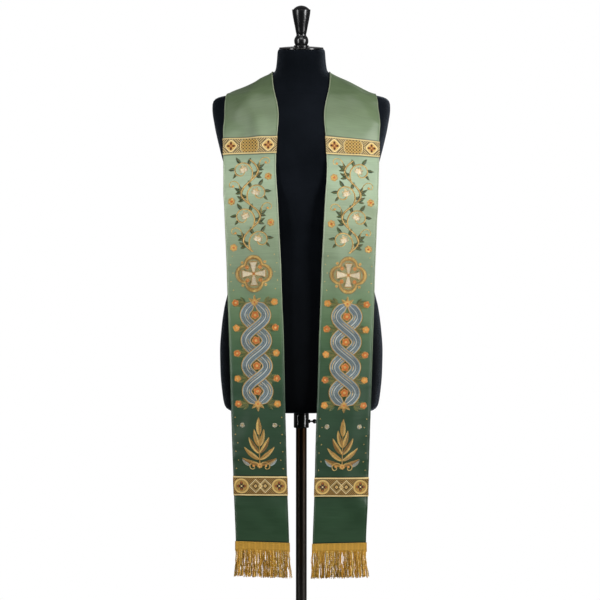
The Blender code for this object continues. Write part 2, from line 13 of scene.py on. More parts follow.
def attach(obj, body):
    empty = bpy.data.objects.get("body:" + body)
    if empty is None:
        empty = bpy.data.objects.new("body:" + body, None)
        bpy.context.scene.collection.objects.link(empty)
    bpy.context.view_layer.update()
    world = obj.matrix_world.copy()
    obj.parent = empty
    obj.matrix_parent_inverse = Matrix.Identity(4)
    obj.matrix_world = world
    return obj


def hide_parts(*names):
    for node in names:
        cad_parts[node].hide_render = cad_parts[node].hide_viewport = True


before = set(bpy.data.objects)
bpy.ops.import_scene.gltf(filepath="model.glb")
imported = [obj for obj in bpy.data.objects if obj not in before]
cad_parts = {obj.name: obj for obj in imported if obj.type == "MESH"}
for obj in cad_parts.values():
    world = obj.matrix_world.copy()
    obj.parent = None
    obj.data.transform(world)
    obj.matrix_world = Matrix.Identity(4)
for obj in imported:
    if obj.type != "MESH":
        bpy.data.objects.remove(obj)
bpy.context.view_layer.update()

# ---------------------------------------------------------------- studio
# A level camera stands in front at hip height. The room is white and open, with a dark side
# behind the camera. Two tall soft boxes and a ceiling panel light the front of the form, and a
# weaker panel its back.
CAMERA_DISTANCE = 3.8
CAMERA_HEIGHT = 0.9415
PICTURE_WIDTH = 1.380  # metres across at the pole
CENTRE_SHIFT = -1.3 / 600
FLOOR_RADIUS = 1.3
FLOOR_FADE = (0.55, 1.15)  # radii between which the pale floor goes over into the white room
WHITE = (1.0, 1.0, 1.0, 1.0)


def in_scene(name, data):
    made = bpy.data.objects.new(name, data)
    bpy.context.scene.collection.objects.link(made)
    return made


def node_sum(operation):
    """A sum of two values, made as a node."""
    return lambda one, other: one.nodes.calc(operation, one, other)


class Value:
    """A node's output. Sums with it add nodes, so that a finish reads as a formula."""

    def __init__(self, nodes, socket):
        self.nodes, self.socket = nodes, socket

    __add__, __sub__ = node_sum("ADD"), node_sum("SUBTRACT")
    __mul__, __truediv__ = node_sum("MULTIPLY"), node_sum("DIVIDE")


class Nodes:
    """A tree of nodes as it is put together, most of them of one family."""

    def __init__(self, tree, family="ShaderNode"):
        self.tree, self.family = tree, family

    def add(self, kind, inputs=(), out=0, **settings):
        """A node, with its inputs and settings. Gives its output, or a list of several."""
        made = self.tree.nodes.new(kind if "Node" in kind else self.family + kind)
        for name, value in settings.items():
            setattr(made, name, value)
        for socket, value in dict(inputs).items():
            if isinstance(value, Value):
                self.tree.links.new(value.socket, made.inputs[socket])
            else:
                made.inputs[socket].default_value = value
        if isinstance(out, tuple):
            return [Value(self, made.outputs[socket]) for socket in out]
        return Value(self, made.outputs[out])

    def calc(self, operation, *values):
        return self.add("ShaderNodeMath", dict(enumerate(values)), operation=operation)

    def scaled(self, vector, by):
        return self.add("ShaderNodeVectorMath", {0: vector, "Scale": by}, operation="SCALE")

    def apart(self, vector):
        return self.add("SeparateXYZ", {0: vector}, ("X", "Y", "Z"))

    def spread(self, value, start, end, low=0.0, high=1.0, **settings):
        """A value that runs from start to end, made to run from low to high."""
        limits = {"From Min": start, "From Max": end, "To Min": low, "To Max": high}
        return self.add("MapRange", {"Value": value, **limits}, **settings)

    def shown(self, output, lit, seen):
        """Ends a tree with one look for the light in the room, and another for the camera."""
        ray = self.add("LightPath", out="Is Camera Ray")
        both = self.add("MixShader", {0: ray, 1: lit, 2: seen})
        self.add(output, {"Surface": both}, ())


camera = in_scene("camera", bpy.data.cameras.new("camera"))
camera.location = (0.0, -CAMERA_DISTANCE, CAMERA_HEIGHT)
camera.rotation_euler = (pi / 2, 0.0, 0.0)
camera.data.sensor_width = 36.0
camera.data.sensor_fit = "HORIZONTAL"
camera.data.lens = camera.data.sensor_width * CAMERA_DISTANCE / PICTURE_WIDTH
camera.data.shift_x = CENTRE_SHIFT
bpy.context.scene.camera = camera
bpy.context.scene.view_settings.view_transform = "Standard"

world = bpy.data.worlds.new("room")
bpy.context.scene.world = world
world.use_nodes = True
world.node_tree.nodes.clear()
room = Nodes(world.node_tree)
_, behind, above = room.apart(room.add("TexCoord", out="Generated"))
light = room.spread(behind, -0.6, 0.6, 0.02, 0.17, interpolation_type="SMOOTHSTEP")
light = light * room.spread(above, -0.35, 0.25)
lit, seen = (room.add("Background", {"Color": WHITE, "Strength": s}) for s in (light, 1.0))
room.shown("OutputWorld", lit, seen)

for name, place, aim, width, height, power in (
    ("soft_box_left", (-2.4, -1.9, 1.45), 1.25, 0.6, 2.5, 50),
    ("soft_box_right", (2.5, -1.7, 1.45), 1.25, 0.9, 2.5, 100),
    ("ceiling_panel", (0.0, -2.4, 3.2), 1.3, 2.4, 1.4, 36),
    ("back_panel", (2.0, 1.9, 1.7), 1.2, 1.2, 2.2, 85),
):
    lamp = in_scene(name, bpy.data.lights.new(name, "AREA"))
    lamp.data.shape, lamp.data.energy = "RECTANGLE", power
    lamp.data.size, lamp.data.size_y = width, height
    lamp.location = place
    way = Vector((0, 0, aim)) - Vector(place)
    lamp.rotation_euler = way.to_track_quat("-Z", "Y").to_euler()
    lamp.visible_camera = False
    lamp.visible_glossy = name != "back_panel"

floor_paint = bpy.data.materials.new("pale_floor")
floor_paint.use_nodes = True
floor_paint.node_tree.nodes.clear()
pale = Nodes(floor_paint.node_tree)
place = pale.add("TexCoord", out="Object")
radius = pale.add("VectorMath", {0: place}, "Value", operation="LENGTH")
fade = pale.spread(radius, *FLOOR_FADE, interpolation_type="SMOOTHSTEP")
grain = pale.add("TexNoise", {"Vector": place, "Scale": 900.0})
grain = pale.add("Bump", {"Height": grain, "Strength": 0.05, "Distance": 0.0005})
paint = pale.add("BsdfDiffuse", {"Color": (0.86, 0.86, 0.855, 1), "Normal": grain})
glow = pale.add("Emission", {"Color": WHITE, "Strength": 1.0})
dim = pale.add("BsdfDiffuse", {"Color": (0.10, 0.10, 0.10, 1)})
pale.shown("OutputMaterial", dim, pale.add("MixShader", {0: fade, 1: paint, 2: glow}))
work = bmesh.new()
bmesh.ops.create_circle(work, cap_ends=True, segments=96, radius=FLOOR_RADIUS)
mesh = bpy.data.meshes.new("studio_floor")
work.to_mesh(mesh)
work.free()
mesh.materials.append(floor_paint)
floor = in_scene("studio_floor", mesh)
floor.location.z = -0.0005

# ---------------------------------------------------------------- foot plate and pole
# The stand is a domed steel plate in black enamel with a socket welded at its middle. A
# bronzed steel tube of 25 mm is pressed into the socket and carries the form.
GAP = 0.0003  # between pieces that meet
PLATE_RADIUS = 0.180
PLATE_DOME = ((0.060, 0.0180), (0.099, 0.0150), (0.140, 0.0112), (0.170, 0.0085))
PLATE_RIM = 0.0045  # the radius of its rounded edge
SOCKET_RADIUS, SOCKET_TOP, SOCKET_FLOOR = 0.021, 0.058, 0.012
SOCKET_LIP, WELD = 0.0015, 0.0060
POLE_RADIUS, POLE_FOOT, POLE_TOP = 0.0125, 0.0123, 0.967
POLE_BEVEL = 0.0004
BORE_RADIUS = 0.0129


def linear(*chart):
    """A colour chart's 0 to 255 values, as light."""
    return tuple(((v / 255 + 0.055) / 1.055) ** 2.4 if v > 10 else v / 3295 for v in chart)


class Finish(Nodes):
    """A finish as a Principled material, with the nodes that colour and roughen it."""

    def __init__(self, name, values):
        self.material = bpy.data.materials.new(name)
        self.material.use_nodes = True
        super().__init__(self.material.node_tree)
        self.sockets = self.tree.nodes["Principled BSDF"].inputs
        for socket, value in values.items():
            self.sockets[socket].default_value = value
        self.place = self.add("TexCoord", out="Object")

    def noise(self, scale, detail=2.0, at=None):
        inputs = {"Vector": at or self.place, "Scale": scale, "Detail": detail}
        return self.add("TexNoise", inputs)

    def drawn_out(self, scale, at=None):
        return self.add("Mapping", {"Vector": at or self.place, "Scale": scale})

    def ramp(self, value, *stops):
        """A run of colours. Each stop is a place from 0 to 1 and a colour chart's values."""
        made = self.add("ValToRGB", {"Fac": value}, "Color")
        stay = made.socket.node.color_ramp.elements
        for number, (place, *chart) in enumerate((stops[0], stops[-1], *stops[1:-1])):
            stop = stay[number] if number < 2 else stay.new(place)
            stop.position, stop.color = place, (*linear(*chart), 1.0)
        return made

    def feed(self, socket, value):
        self.tree.links.new(value.socket, self.sockets[socket])

    def roughen(self, value, low, high):
        self.feed("Roughness", self.spread(value, 0.0, 1.0, low, high))

    def emboss(self, height, strength, distance, **under):
        inputs = {"Height": height, "Strength": strength, "Distance": distance, **under}
        bump = self.add("Bump", inputs)
        self.feed("Normal", bump)
        return bump


def dressed(mesh, finish, body, slot, node):
    """Puts a finished mesh in the scene, on its body, in its finish and for its node."""
    made = in_scene(mesh.name, mesh)
    mesh.materials.clear()
    mesh.materials.append(finish.material)
    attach(made, body)
    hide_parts(node)
    return made


def closed_mesh(name, points, faces, sharp=40.0):
    """A mesh with smooth faces turned outwards."""
    mesh = bpy.data.meshes.new(name)
    mesh.from_pydata([tuple(p) for p in points], [], faces)
    work = bmesh.new()
    work.from_mesh(mesh)
    bmesh.ops.recalc_face_normals(work, faces=work.faces)
    work.to_mesh(mesh)
    work.free()
    mesh.shade_smooth()
    mesh.set_sharp_from_angle(angle=radians(sharp))
    return mesh


def turned(name, profile, steps=96, placed=Matrix()):
    """A turned mesh about Z, then placed. The profile is (radius, height) points, a ring each,
    and a point on the axis closes an end. A profile that ends off the axis is a tube."""
    turns = np.linspace(0.0, tau, steps, endpoint=False)
    points, rings, faces = [], [], []
    for radius, height in profile:
        count = 1 if radius == 0 else steps
        rings.append(range(len(points), len(points) + count))
        points += [(radius * cos(t), radius * sin(t), height) for t in turns[:count]]
    pairs = list(zip(rings, rings[1:]))
    if profile[0][0] and profile[-1][0]:
        pairs.append((rings[-1], rings[0]))
    for one, two in pairs:
        for i in range(steps):
            corners = ((one, i), (one, i + 1), (two, i + 1), (two, i))
            faces.append(tuple(dict.fromkeys(ring[k % len(ring)] for ring, k in corners)))
    return closed_mesh(name, [placed @ Vector(p) for p in points], faces)


def arc(x, y, radius, start, end, count):
    """Profile points along an arc, by angle in degrees from +radius towards +height."""
    turns = [radians(start + (end - start) * i / (count - 1)) for i in range(count)]
    return [(x + radius * cos(t), y + radius * sin(t)) for t in turns]


enamel = Finish("black_enamel", {"Coat Weight": 0.5, "Coat Roughness": 0.10})
cloud = enamel.noise(28.0, 6.0)
enamel.feed("Base Color", enamel.ramp(cloud, (0.35, 13, 13, 14), (0.75, 24, 23, 22)))
enamel.roughen(cloud, 0.13, 0.28)
enamel.emboss(enamel.noise(1400.0), 0.06, 0.0002)

profile = [(0.0, SOCKET_FLOOR), (BORE_RADIUS, SOCKET_FLOOR), (BORE_RADIUS, SOCKET_TOP)]
profile += arc(SOCKET_RADIUS - SOCKET_LIP, SOCKET_TOP - SOCKET_LIP, SOCKET_LIP, 90, 0, 6)
profile += arc(SOCKET_RADIUS + WELD, 0.0260, WELD, 180, 255, 8)
profile += [*PLATE_DOME, *arc(PLATE_RADIUS - PLATE_RIM, 0.0035, PLATE_RIM, 80, 0, 8)]
profile += [(PLATE_RADIUS, 0.0006), (PLATE_RADIUS - 0.0006, 0.0), (0.0, 0.0)]
dressed(turned("foot_plate", profile, 128), enamel, "stand", "black_enamel", "base")

# Dark steel, browner towards its top, with fine marks from drawing along its length.
bronze = Finish("bronzed_tube", {"Metallic": 1.0, "Anisotropic": 0.3})
height = bronze.apart(bronze.place)[2] / POLE_TOP
marks = bronze.noise(1500.0, 3.0, bronze.drawn_out((1.0, 1.0, 0.012)))
browning = height + (bronze.noise(40.0) - 0.5) * 0.1
bronze.feed("Base Color", bronze.ramp(browning, (0.26, 70, 67, 64), (0.66, 40, 27, 16)))
bronze.roughen(marks, 0.26, 0.44)
bronze.emboss(marks, 0.15, 0.0001)

profile = [(0.0, POLE_TOP), (POLE_RADIUS - POLE_BEVEL, POLE_TOP)]
profile += [(POLE_RADIUS, POLE_TOP - POLE_BEVEL)]
profile += [(POLE_RADIUS, z) for z in np.linspace(POLE_TOP - 0.05, POLE_FOOT + 0.02, 12)]
profile += [(POLE_RADIUS, POLE_FOOT), (0.0, POLE_FOOT)]
dressed(turned("pole_tube", profile, 64), bronze, "stand", "bronzed_tube", "pole")

# ---------------------------------------------------------------- clamp
# A cast collar in black enamel slides on the tube under the form. A screw with a lacquered
# ball head runs in a threaded boss on its side and pinches the tube.
FORM_BOTTOM = 0.687
COLLAR_RADIUS = 0.0174
COLLAR_TOP = FORM_BOTTOM - GAP
COLLAR_FOOT = COLLAR_TOP - 0.039
COLLAR_BEVEL, COLLAR_ROUND = 0.0006, 0.0020
BOSS_RADIUS, BOSS_START, BOSS_END = 0.0042, COLLAR_RADIUS - 0.0012, 0.0208
STEM_RADIUS, STEM_HOLE = 0.0020, 0.0024
BALL_RADIUS, BALL_X, CLAMP_Z = 0.0052, 0.0306, 0.6625
THREAD_TURNS, THREAD_PITCH, THREAD_START, THREAD_DEPTH = 10, 0.0009, -0.0072, 0.0003

profile = [(BORE_RADIUS, COLLAR_TOP)]
for end, radius, *sweep in (
    (COLLAR_TOP - COLLAR_BEVEL, COLLAR_BEVEL, 90, 0, 4),
    (COLLAR_FOOT + COLLAR_ROUND, COLLAR_ROUND, 0, -90, 7),
):
    profile += arc(COLLAR_RADIUS - radius, end, radius, *sweep)
casting = turned("collar_casting", profile + [(BORE_RADIUS, COLLAR_FOOT)], 80)
profile = [(STEM_HOLE, BOSS_END), (BOSS_RADIUS - COLLAR_BEVEL, BOSS_END)]
profile += [(BOSS_RADIUS, BOSS_END - COLLAR_BEVEL), (BOSS_RADIUS, BOSS_START)]
profile += [(STEM_HOLE, BOSS_START)]
sideways = Matrix.Translation((0, 0, CLAMP_Z)) @ Matrix.Rotation(pi / 2, 4, "Y")
work = bmesh.new()
work.from_mesh(casting)
work.from_mesh(turned("boss", profile, 32, sideways))
work.to_mesh(casting)
work.free()
dressed(casting, enamel, "clamp", "black_enamel", "clamp_collar")

profile = [(0.0, BALL_RADIUS), *arc(0.0, 0.0, BALL_RADIUS, 84, -66, 18), (STEM_RADIUS, -0.0053)]
for turn in range(THREAD_TURNS):  # the thread's crests and roots
    crest = THREAD_START - THREAD_PITCH * turn
    profile += [(STEM_RADIUS, crest), (STEM_RADIUS - THREAD_DEPTH, crest - THREAD_PITCH / 2)]
tip = POLE_RADIUS + GAP - BALL_X
profile += [(STEM_RADIUS - 0.0002, tip), (0.0, tip)]
screw = turned("ball_screw", profile, 48, Matrix.Translation((BALL_X, 0, 0)) @ sideways)

# Gloss black lacquer, which shows the tool's rings faintly where the wood under it is turned.
lacquer = Finish("black_lacquer", {"Roughness": 0.30, "Coat Weight": 0.40, "Coat Roughness": 0.13})
black = lacquer.ramp(lacquer.noise(60.0, 5.0), (0.3, 10, 11, 13), (0.8, 18, 18, 19))
lacquer.feed("Base Color", black)
lacquer.emboss(lacquer.noise(260.0, 4.0, lacquer.drawn_out((0.3, 0.3, 4.0))), 0.02, 0.0001)
dressed(screw, lacquer, "screw", "black_enamel", "clamp_screw")

# ---------------------------------------------------------------- form
# The body is moulded without limbs and covered in fine black jersey, pulled tight and turned
# under at the neck and the foot. A seam closes the jersey down the centre back.
FORM_SECTIONS = (  # height, half width, depth in front and behind, and how square it is
    (FORM_BOTTOM, 0.1590, 0.0910, 0.1010, 2.5),
    (0.6893, 0.1655, 0.0945, 0.1050, 2.5),
    (0.6931, 0.1712, 0.0972, 0.1082, 2.5),
    (0.6990, 0.1756, 0.0998, 0.1112, 2.5),
    (0.7276, 0.1812, 0.1045, 0.1170, 2.5),
    (0.7782, 0.1858, 0.1075, 0.1210, 2.4),
    (0.8265, 0.1868, 0.1085, 0.1225, 2.4),
    (0.8725, 0.1838, 0.1085, 0.1200, 2.3),
    (0.9263, 0.1765, 0.1075, 0.1120, 2.3),
    (0.9530, 0.1700, 0.1060, 0.1070, 2.3),
    (1.0100, 0.1560, 0.1025, 0.0960, 2.2),
    (1.0850, 0.1440, 0.1000, 0.0890, 2.2),
    (1.1500, 0.1500, 0.1060, 0.0940, 2.2),
    (1.2100, 0.1660, 0.1155, 0.1030, 2.3),
    (1.2680, 0.1820, 0.1125, 0.1105, 2.3),
    (1.2934, 0.1886, 0.1075, 0.1115, 2.3),
    (1.3429, 0.1995, 0.0945, 0.1085, 2.2),
    (1.3808, 0.2046, 0.0830, 0.1010, 2.1),
    (1.3916, 0.2042, 0.0795, 0.0980, 2.1),
    (1.3997, 0.2012, 0.0770, 0.0950, 2.0),
    (1.4060, 0.1922, 0.0750, 0.0930, 2.0),
    (1.4120, 0.1650, 0.0720, 0.0900, 2.0),
    (1.4218, 0.1415, 0.0685, 0.0865, 2.0),
    (1.4318, 0.1205, 0.0650, 0.0825, 2.0),
    (1.4422, 0.1000, 0.0620, 0.0775, 2.0),
    (1.4570, 0.0710, 0.0580, 0.0705, 2.0),
    (1.4700, 0.0594, 0.0550, 0.0655, 2.0),
    (1.4935, 0.0561, 0.0525, 0.0622, 2.0),
    (1.5152, 0.0542, 0.0508, 0.0602, 2.0),
    (1.5190, 0.0518, 0.0490, 0.0578, 2.0),
)
NECK_TOP = 1.519
NECK_Y = 0.0045  # the neck stands a little behind the pole's line
NECK_SLOPE = radians(10.5)  # the neck's top is lower in front
SLOPE_START = 1.468
RINGS, SEGMENTS = 130, 96
WALES = 900  # columns of knitting round the body
COURSE = 0.0011  # height of a row of knitting


def smooth_columns(table, where):
    """Reads every column of a table at the distances asked for, with no overshoot.

    The table's first column is the distance. It is Fritsch and Carlson's monotone cubic.
    """
    table = np.array(table, float)
    along, values = table[:, 0], table[:, 1:]
    step = np.diff(along)[:, None]
    slope = np.diff(values, axis=0) / step
    tangent = np.concatenate([slope[:1], 0 * slope[1:], slope[-1:]])
    with np.errstate(divide="ignore", invalid="ignore"):
        weight_a = 2 * step[1:] + step[:-1]
        weight_b = step[1:] + 2 * step[:-1]
        mean = (weight_a + weight_b) / (weight_a / slope[:-1] + weight_b / slope[1:])
    tangent[1:-1] = np.where(slope[:-1] * slope[1:] > 0, mean, 0.0)
    where = np.clip(np.array(where, float), along[0], along[-1])
    span = np.clip(np.searchsorted(along, where, side="right") - 1, 0, len(along) - 2)
    part = ((where - along[span]) / step[span, 0])[:, None]
    return (
        (1 + 2 * part) * (1 - part) ** 2 * values[span]
        + part * (1 - part) ** 2 * step[span] * tangent[span]
        + part**2 * (3 - 2 * part) * values[span + 1]
        + part**2 * (part - 1) * step[span] * tangent[span + 1]
    )


def running(points):
    """Distance along a line of points."""
    steps = np.diff(points, axis=0).reshape(len(points) - 1, -1)
    return np.concatenate([[0.0], np.cumsum(np.linalg.norm(steps, axis=1))])


turn = np.linspace(0.0, tau, SEGMENTS, endpoint=False)
circle = np.column_stack([np.cos(turn), np.sin(turn), 0 * turn])


def outline(z, half_width, front, back, squareness):
    """One outline of the form: two half ellipses, squared off by the exponent. It is level up
    to the neck, and turns there to the slope of the neck's top."""
    share = min(1.0, max(0.0, (z - SLOPE_START) / (NECK_TOP - SLOPE_START)))
    slope = tan(NECK_SLOPE) * share * share * (3 - 2 * share)
    x, y, _ = (np.sign(circle) * np.abs(circle) ** (2.0 / squareness)).T
    x, y = half_width * x, np.where(y > 0, back, front) * y
    return np.column_stack([x, y, z + slope * (y - NECK_Y)])


sections = np.array(FORM_SECTIONS)
along = running(sections[:, :2])
stations = np.unique(np.concatenate([np.linspace(0.0, along[-1], RINGS), along[[1, -2]]]))
rings = [outline(*row) for row in smooth_columns(np.column_stack([along, sections]), stations)]
bore = circle * BORE_RADIUS
under = [bore + (0, 0, z) for z in (POLE_TOP + GAP, FORM_BOTTOM + 0.004, FORM_BOTTOM)]
for share in (0.25, 0.5, 0.75, 0.94):
    under.append(bore * (1 - share) + rings[0] * share + (0, 0, FORM_BOTTOM * (1 - share)))
rings = under + rings
last = (len(rings) - 1) * SEGMENTS
faces = [tuple(range(SEGMENTS)), tuple(range(last, last + SEGMENTS))]
for low in range(0, last, SEGMENTS):
    for i in range(SEGMENTS):
        j = (i + 1) % SEGMENTS
        faces.append((low + i, low + j, low + SEGMENTS + j, low + SEGMENTS + i))
cover = closed_mesh("jersey_cover", np.concatenate(rings), faces, sharp=50)
jersey_tree = BVHTree.FromPolygons(
    [v.co.copy() for v in cover.vertices], [tuple(f.vertices) for f in cover.polygons]
)

# Fine knitting in columns of chevrons, with the soft grey bloom of its fibres.
jersey = Finish("black_jersey", {
    "Roughness": 0.85,
    "Sheen Weight": 0.34,
    "Sheen Roughness": 0.30,
    "Sheen Tint": (0.62, 0.72, 0.88, 1.0),
    "Specular IOR Level": 0.05,
})
calc = jersey.calc
x, y, z = jersey.apart(jersey.place)
wale = calc("FRACT", calc("ARCTAN2", x, y * -1.0) * (WALES / tau))
side = calc("ABSOLUTE", wale * 2.0 - 1.0)
loop = calc("SINE", (z / COURSE + side * 0.6) * tau)
knit = calc("SUBTRACT", 1.0, side * side) * (loop * 0.3 + 0.7)
seam = calc("GREATER_THAN", y, 0.02) * calc("COMPARE", x, 0.0, 0.0006)
fluff = jersey.noise(700.0, 3.0)
cloud = jersey.noise(9.0, 4.0) * 0.65 + fluff * 0.35
black = jersey.ramp(cloud, (0.35, 3, 5, 8), (0.70, 12, 15, 20))
# The black is scaled by height: painted shade darkens the lower body and painted light lifts the
# top.
jersey.feed("Base Color", jersey.scaled(black, jersey.spread(z, 0.70, 1.25, 0.25, 1.9)))
knitted = jersey.emboss(knit - seam * 2.5, 0.45, 0.0004)
jersey.emboss(fluff, 0.2, 0.0004, Normal=knitted)
dressed(cover, jersey, "form", "black_jersey", "form_body")

# ---------------------------------------------------------------- neck cap and handle
# A shallow cap plate in black enamel closes the neck's sloping top. The turned wooden handle
# screws into it, square to the slope, so that the form can be carried.
CAP_RADIUS, CAP_EDGE, CAP_RISE, CAP_BEVEL = 0.0510, 0.0035, 0.0025, 0.0011
CAP_TOP = GAP + CAP_EDGE + CAP_RISE
HANDLE_FOOT, HANDLE_TOP = CAP_TOP + GAP, 0.0991  # above the neck's top
HEAD_RADIUS, BALL_HEIGHT, BALL_ROUND, BEAD_ROUND = 0.0240, 0.0186, 0.0165, 0.0012
HANDLE_TAPER = (  # height and radius, from under the head down to the ball
    (0.0884, 0.0211), (0.0830, 0.0207), (0.0669, 0.0180), (0.0485, 0.0143), (0.0393, 0.0127),
    (0.0345, 0.0115), (0.0320, 0.0113),
)

on_neck = Matrix.Translation((0, NECK_Y, NECK_TOP)) @ Matrix.Rotation(NECK_SLOPE, 4, "X")
profile = [(0.0, CAP_TOP), (0.0182, CAP_TOP), (0.0300, CAP_TOP - CAP_RISE * 0.30)]
profile += [(0.0400, CAP_TOP - CAP_RISE * 0.62)]
for end, *sweep in ((CAP_EDGE - CAP_BEVEL, 82, 0, 7), (CAP_BEVEL, 0, -90, 6)):
    profile += arc(CAP_RADIUS - CAP_BEVEL, GAP + end, CAP_BEVEL, *sweep)
profile.append((0.0, GAP))
dressed(turned("cap_plate", profile, 96, on_neck), enamel, "form", "black_enamel", "neck_cap")

profile = [(0.0, HANDLE_TOP), *arc(0.0, HANDLE_TOP - HEAD_RADIUS, HEAD_RADIUS, 86, 38, 12)]
profile += arc(0.0200, 0.0893, BEAD_ROUND, 50, -8, 6)
steps = np.linspace(0.0, 1.0, len(HANDLE_TAPER))
taper = smooth_columns(np.column_stack([steps, HANDLE_TAPER]), np.linspace(0.0, 1.0, 30))
profile += [(radius, height) for height, radius in taper]
profile += arc(0.0, BALL_HEIGHT, BALL_ROUND, 44, -38, 22) + [(0.0138, HANDLE_FOOT + 0.0021)]
profile += arc(0.0160, HANDLE_FOOT + BEAD_ROUND, BEAD_ROUND, 80, 0, 6)
profile += [(0.0172, HANDLE_FOOT), (0.0, HANDLE_FOOT)]
handle = turned("carrying_handle", profile, 96, on_neck)
dressed(handle, lacquer, "form", "black_lacquer", "neck_finial")

# ---------------------------------------------------------------- how the stole lies
# The stole is two mirrored strips, 120 mm wide and narrower round the neck, joined at the
# centre back. Each lies round the neck, turns over the shoulder and hangs from the chest.
CLOTH = 0.0019
CLEAR = 0.0006  # of the jersey
ROW_STEP = 0.0040
EDGE_STEPS = (0.0, 0.00035, 0.0009, 0.0016, 0.0023, 0.0030, 0.0036, 0.0043, 0.0056)
END_STEPS = (0.0004, 0.0010, 0.0018)
EDGE_ROUND = 0.0011
BEAD, BEAD_IN = 0.0006, 0.0016  # the rolled edge's height, and how far in it stands
STITCH_IN = 0.0038  # the groove where the edge is stitched
HANG_Y = -0.1215
EVENLY = np.linspace(0.0, 1.0, 7)  # across the coarse grid, as the strips are laid
FINELY = np.linspace(0.0, 1.0, 25)
PUCKERS = 26  # along each long edge, where short ones run in from it
PUCKER = (  # least and most: metres down, half length, slant, height
    (-0.05, 0.003, -0.5, 0.0004), (1.02, 0.008, 0.5, 0.0015),
)
DENTS = 70  # soft ones, over the whole cloth
DENT = (  # least and most: metres down, share across, half length, half breadth, height, turn
    (-0.1, 0.05, 0.014, 0.010, -0.0006, 0.0), (1.05, 0.95, 0.045, 0.026, 0.0017, pi),
)
BACK_CELLS = 9
BACK_ROWS = (  # degrees round from the seam, then x, y and z of the inner and the outer edge
    (0.0, 0.0, 0.0760, 1.4620, 0.0, 0.1130, 1.3640),
    (15.0, 0.0170, 0.0745, 1.4622, 0.0420, 0.1110, 1.3660),
    (30.0, 0.0330, 0.0690, 1.4628, 0.0800, 0.1040, 1.3720),
    (45.0, 0.0460, 0.0580, 1.4636, 0.1130, 0.0900, 1.3815),
    (60.0, 0.0555, 0.0420, 1.4645, 0.1400, 0.0680, 1.3935),
    (75.0, 0.0610, 0.0220, 1.4655, 0.1590, 0.0360, 1.4065),
)
FRONT_ROWS = {  # x and z of both edges, the outer one's y, the right strip's lifts, and cells
    "ridge": (0.0630, 1.4655, 0.1668, 1.4140, 0.0, 0.0, 0.0, 5),
    "shoulder_high": (0.0643, 1.4385, 0.1717, 1.3975, -0.0230, 0.0, 0.0005, 1),
    "shoulder_mid": (0.0606, 1.4116, 0.1731, 1.3754, -0.0365, 0.0, 0.0015, 1),
    "shoulder_low": (0.0538, 1.3870, 0.1738, 1.3555, -0.0470, 0.0, 0.0030, 1),
    "breast_high": (0.0500, 1.3613, 0.1742, 1.3355, -0.0560, 0.0, 0.0045, 1),
    "breast_mid": (0.0513, 1.3357, 0.1745, 1.3167, -0.0640, 0.0, 0.0060, 1),
    "upper_band_top": (0.0541, 1.3062, 0.1748, 1.2973, -0.0715, 0.0, 0.0070, 2),
    "upper_band_bottom": (0.0560, 1.2670, 0.1751, 1.2625, -0.0835, 0.0030, 0.0045, 2),
    "chest": (0.0566, 1.2270, 0.1740, 1.2225, -0.0930, 0.0030, 0.0035, 2),
    "under_chest": (0.0528, 1.1731, 0.1715, 1.1653, -0.1020, 0.0025, 0.0030, 3),
    "waist_high": (0.0490, 1.0974, 0.1684, 1.0907, -0.1085, 0.0025, 0.0030, 3),
    "waist_low": (0.0452, 1.0239, 0.1652, 1.0183, -0.1120, 0.0025, 0.0030, 3),
    "hip_high": (0.0428, 0.9504, 0.1628, 0.9460, -0.1140, 0.0025, 0.0030, 4),
    "hip_low": (0.0385, 0.8391, 0.1590, 0.8368, -0.1155, 0.0025, 0.0030, 4),
    "below_hip": (0.0363, 0.7277, 0.1557, 0.7266, -0.1160, 0.0025, 0.0030, 3),
    "free_high": (0.0336, 0.6342, 0.1528, 0.6342, -0.1165, 0.0025, 0.0030, 3),
    "lower_band_top": (0.0316, 0.5462, 0.1497, 0.5462, -0.1170, 0.0025, 0.0030, 2),
    "lower_band_bottom": (0.0305, 0.5042, 0.1483, 0.5042, -0.1170, 0.0018, 0.0020, 4),
    "heading_top": (0.0267, 0.3990, 0.1443, 0.4012, -0.1170, 0.0020, 0.0030, 1),
    "hem": (0.0265, 0.3784, 0.1445, 0.3806, -0.1170, 0.0020, 0.0030, 0),
}
FOLDS = {  # metres down from the ridge, share across, half length, half breadth, height, slant
    +1: (
        (0.052, 0.52, 0.018, 0.010, 0.0048, 72.0),
        (0.085, 0.62, 0.060, 0.020, 0.0047, 40.0),
        (0.145, 0.84, 0.050, 0.026, 0.0085, -38.0),
        (0.330, 0.92, 0.060, 0.016, 0.0041, 80.0),
        (0.480, 0.30, 0.160, 0.026, 0.0041, 4.0),
        (0.760, 0.66, 0.190, 0.024, 0.0046, -5.0),
        (0.990, 0.80, 0.070, 0.022, 0.0041, 30.0),
    ),
    -1: (
        (0.030, 0.25, 0.024, 0.007, 0.0032, 65.0),
        (0.070, 0.45, 0.055, 0.022, 0.0043, 30.0),
        (0.145, 0.38, 0.050, 0.016, 0.0065, -14.0),
        (0.155, 0.98, 0.045, 0.022, 0.0050, -38.0),
        (0.300, 0.88, 0.055, 0.017, 0.0043, 75.0),
        (0.520, 0.38, 0.170, 0.026, 0.0043, -4.0),
        (0.800, 0.60, 0.180, 0.026, 0.0041, 6.0),
        (1.010, 0.25, 0.060, 0.022, 0.0038, -25.0),
    ),
}
ROW_NAMES = list(FRONT_ROWS)
CELLS = [row[-1] for row in FRONT_ROWS.values()]


def back_grid():
    """Coarse rows round the back of the neck, on the jersey, from the seam to the ridge."""
    inner_x, inner_z, outer_x, outer_z = FRONT_ROWS["ridge"][:4]
    table = [*BACK_ROWS, (90.0, inner_x, 0.0, inner_z, outer_x, 0.0, outer_z)]
    for values in smooth_columns(table, np.linspace(0.0, 90.0, BACK_CELLS + 1)):
        points = values[:3] + (values[3:] - values[:3]) * EVENLY[:, None]
        nearest = [jersey_tree.find_nearest(Vector(point))[:2] for point in points]
        yield [tuple(place + normal * CLEAR) for place, normal in nearest]


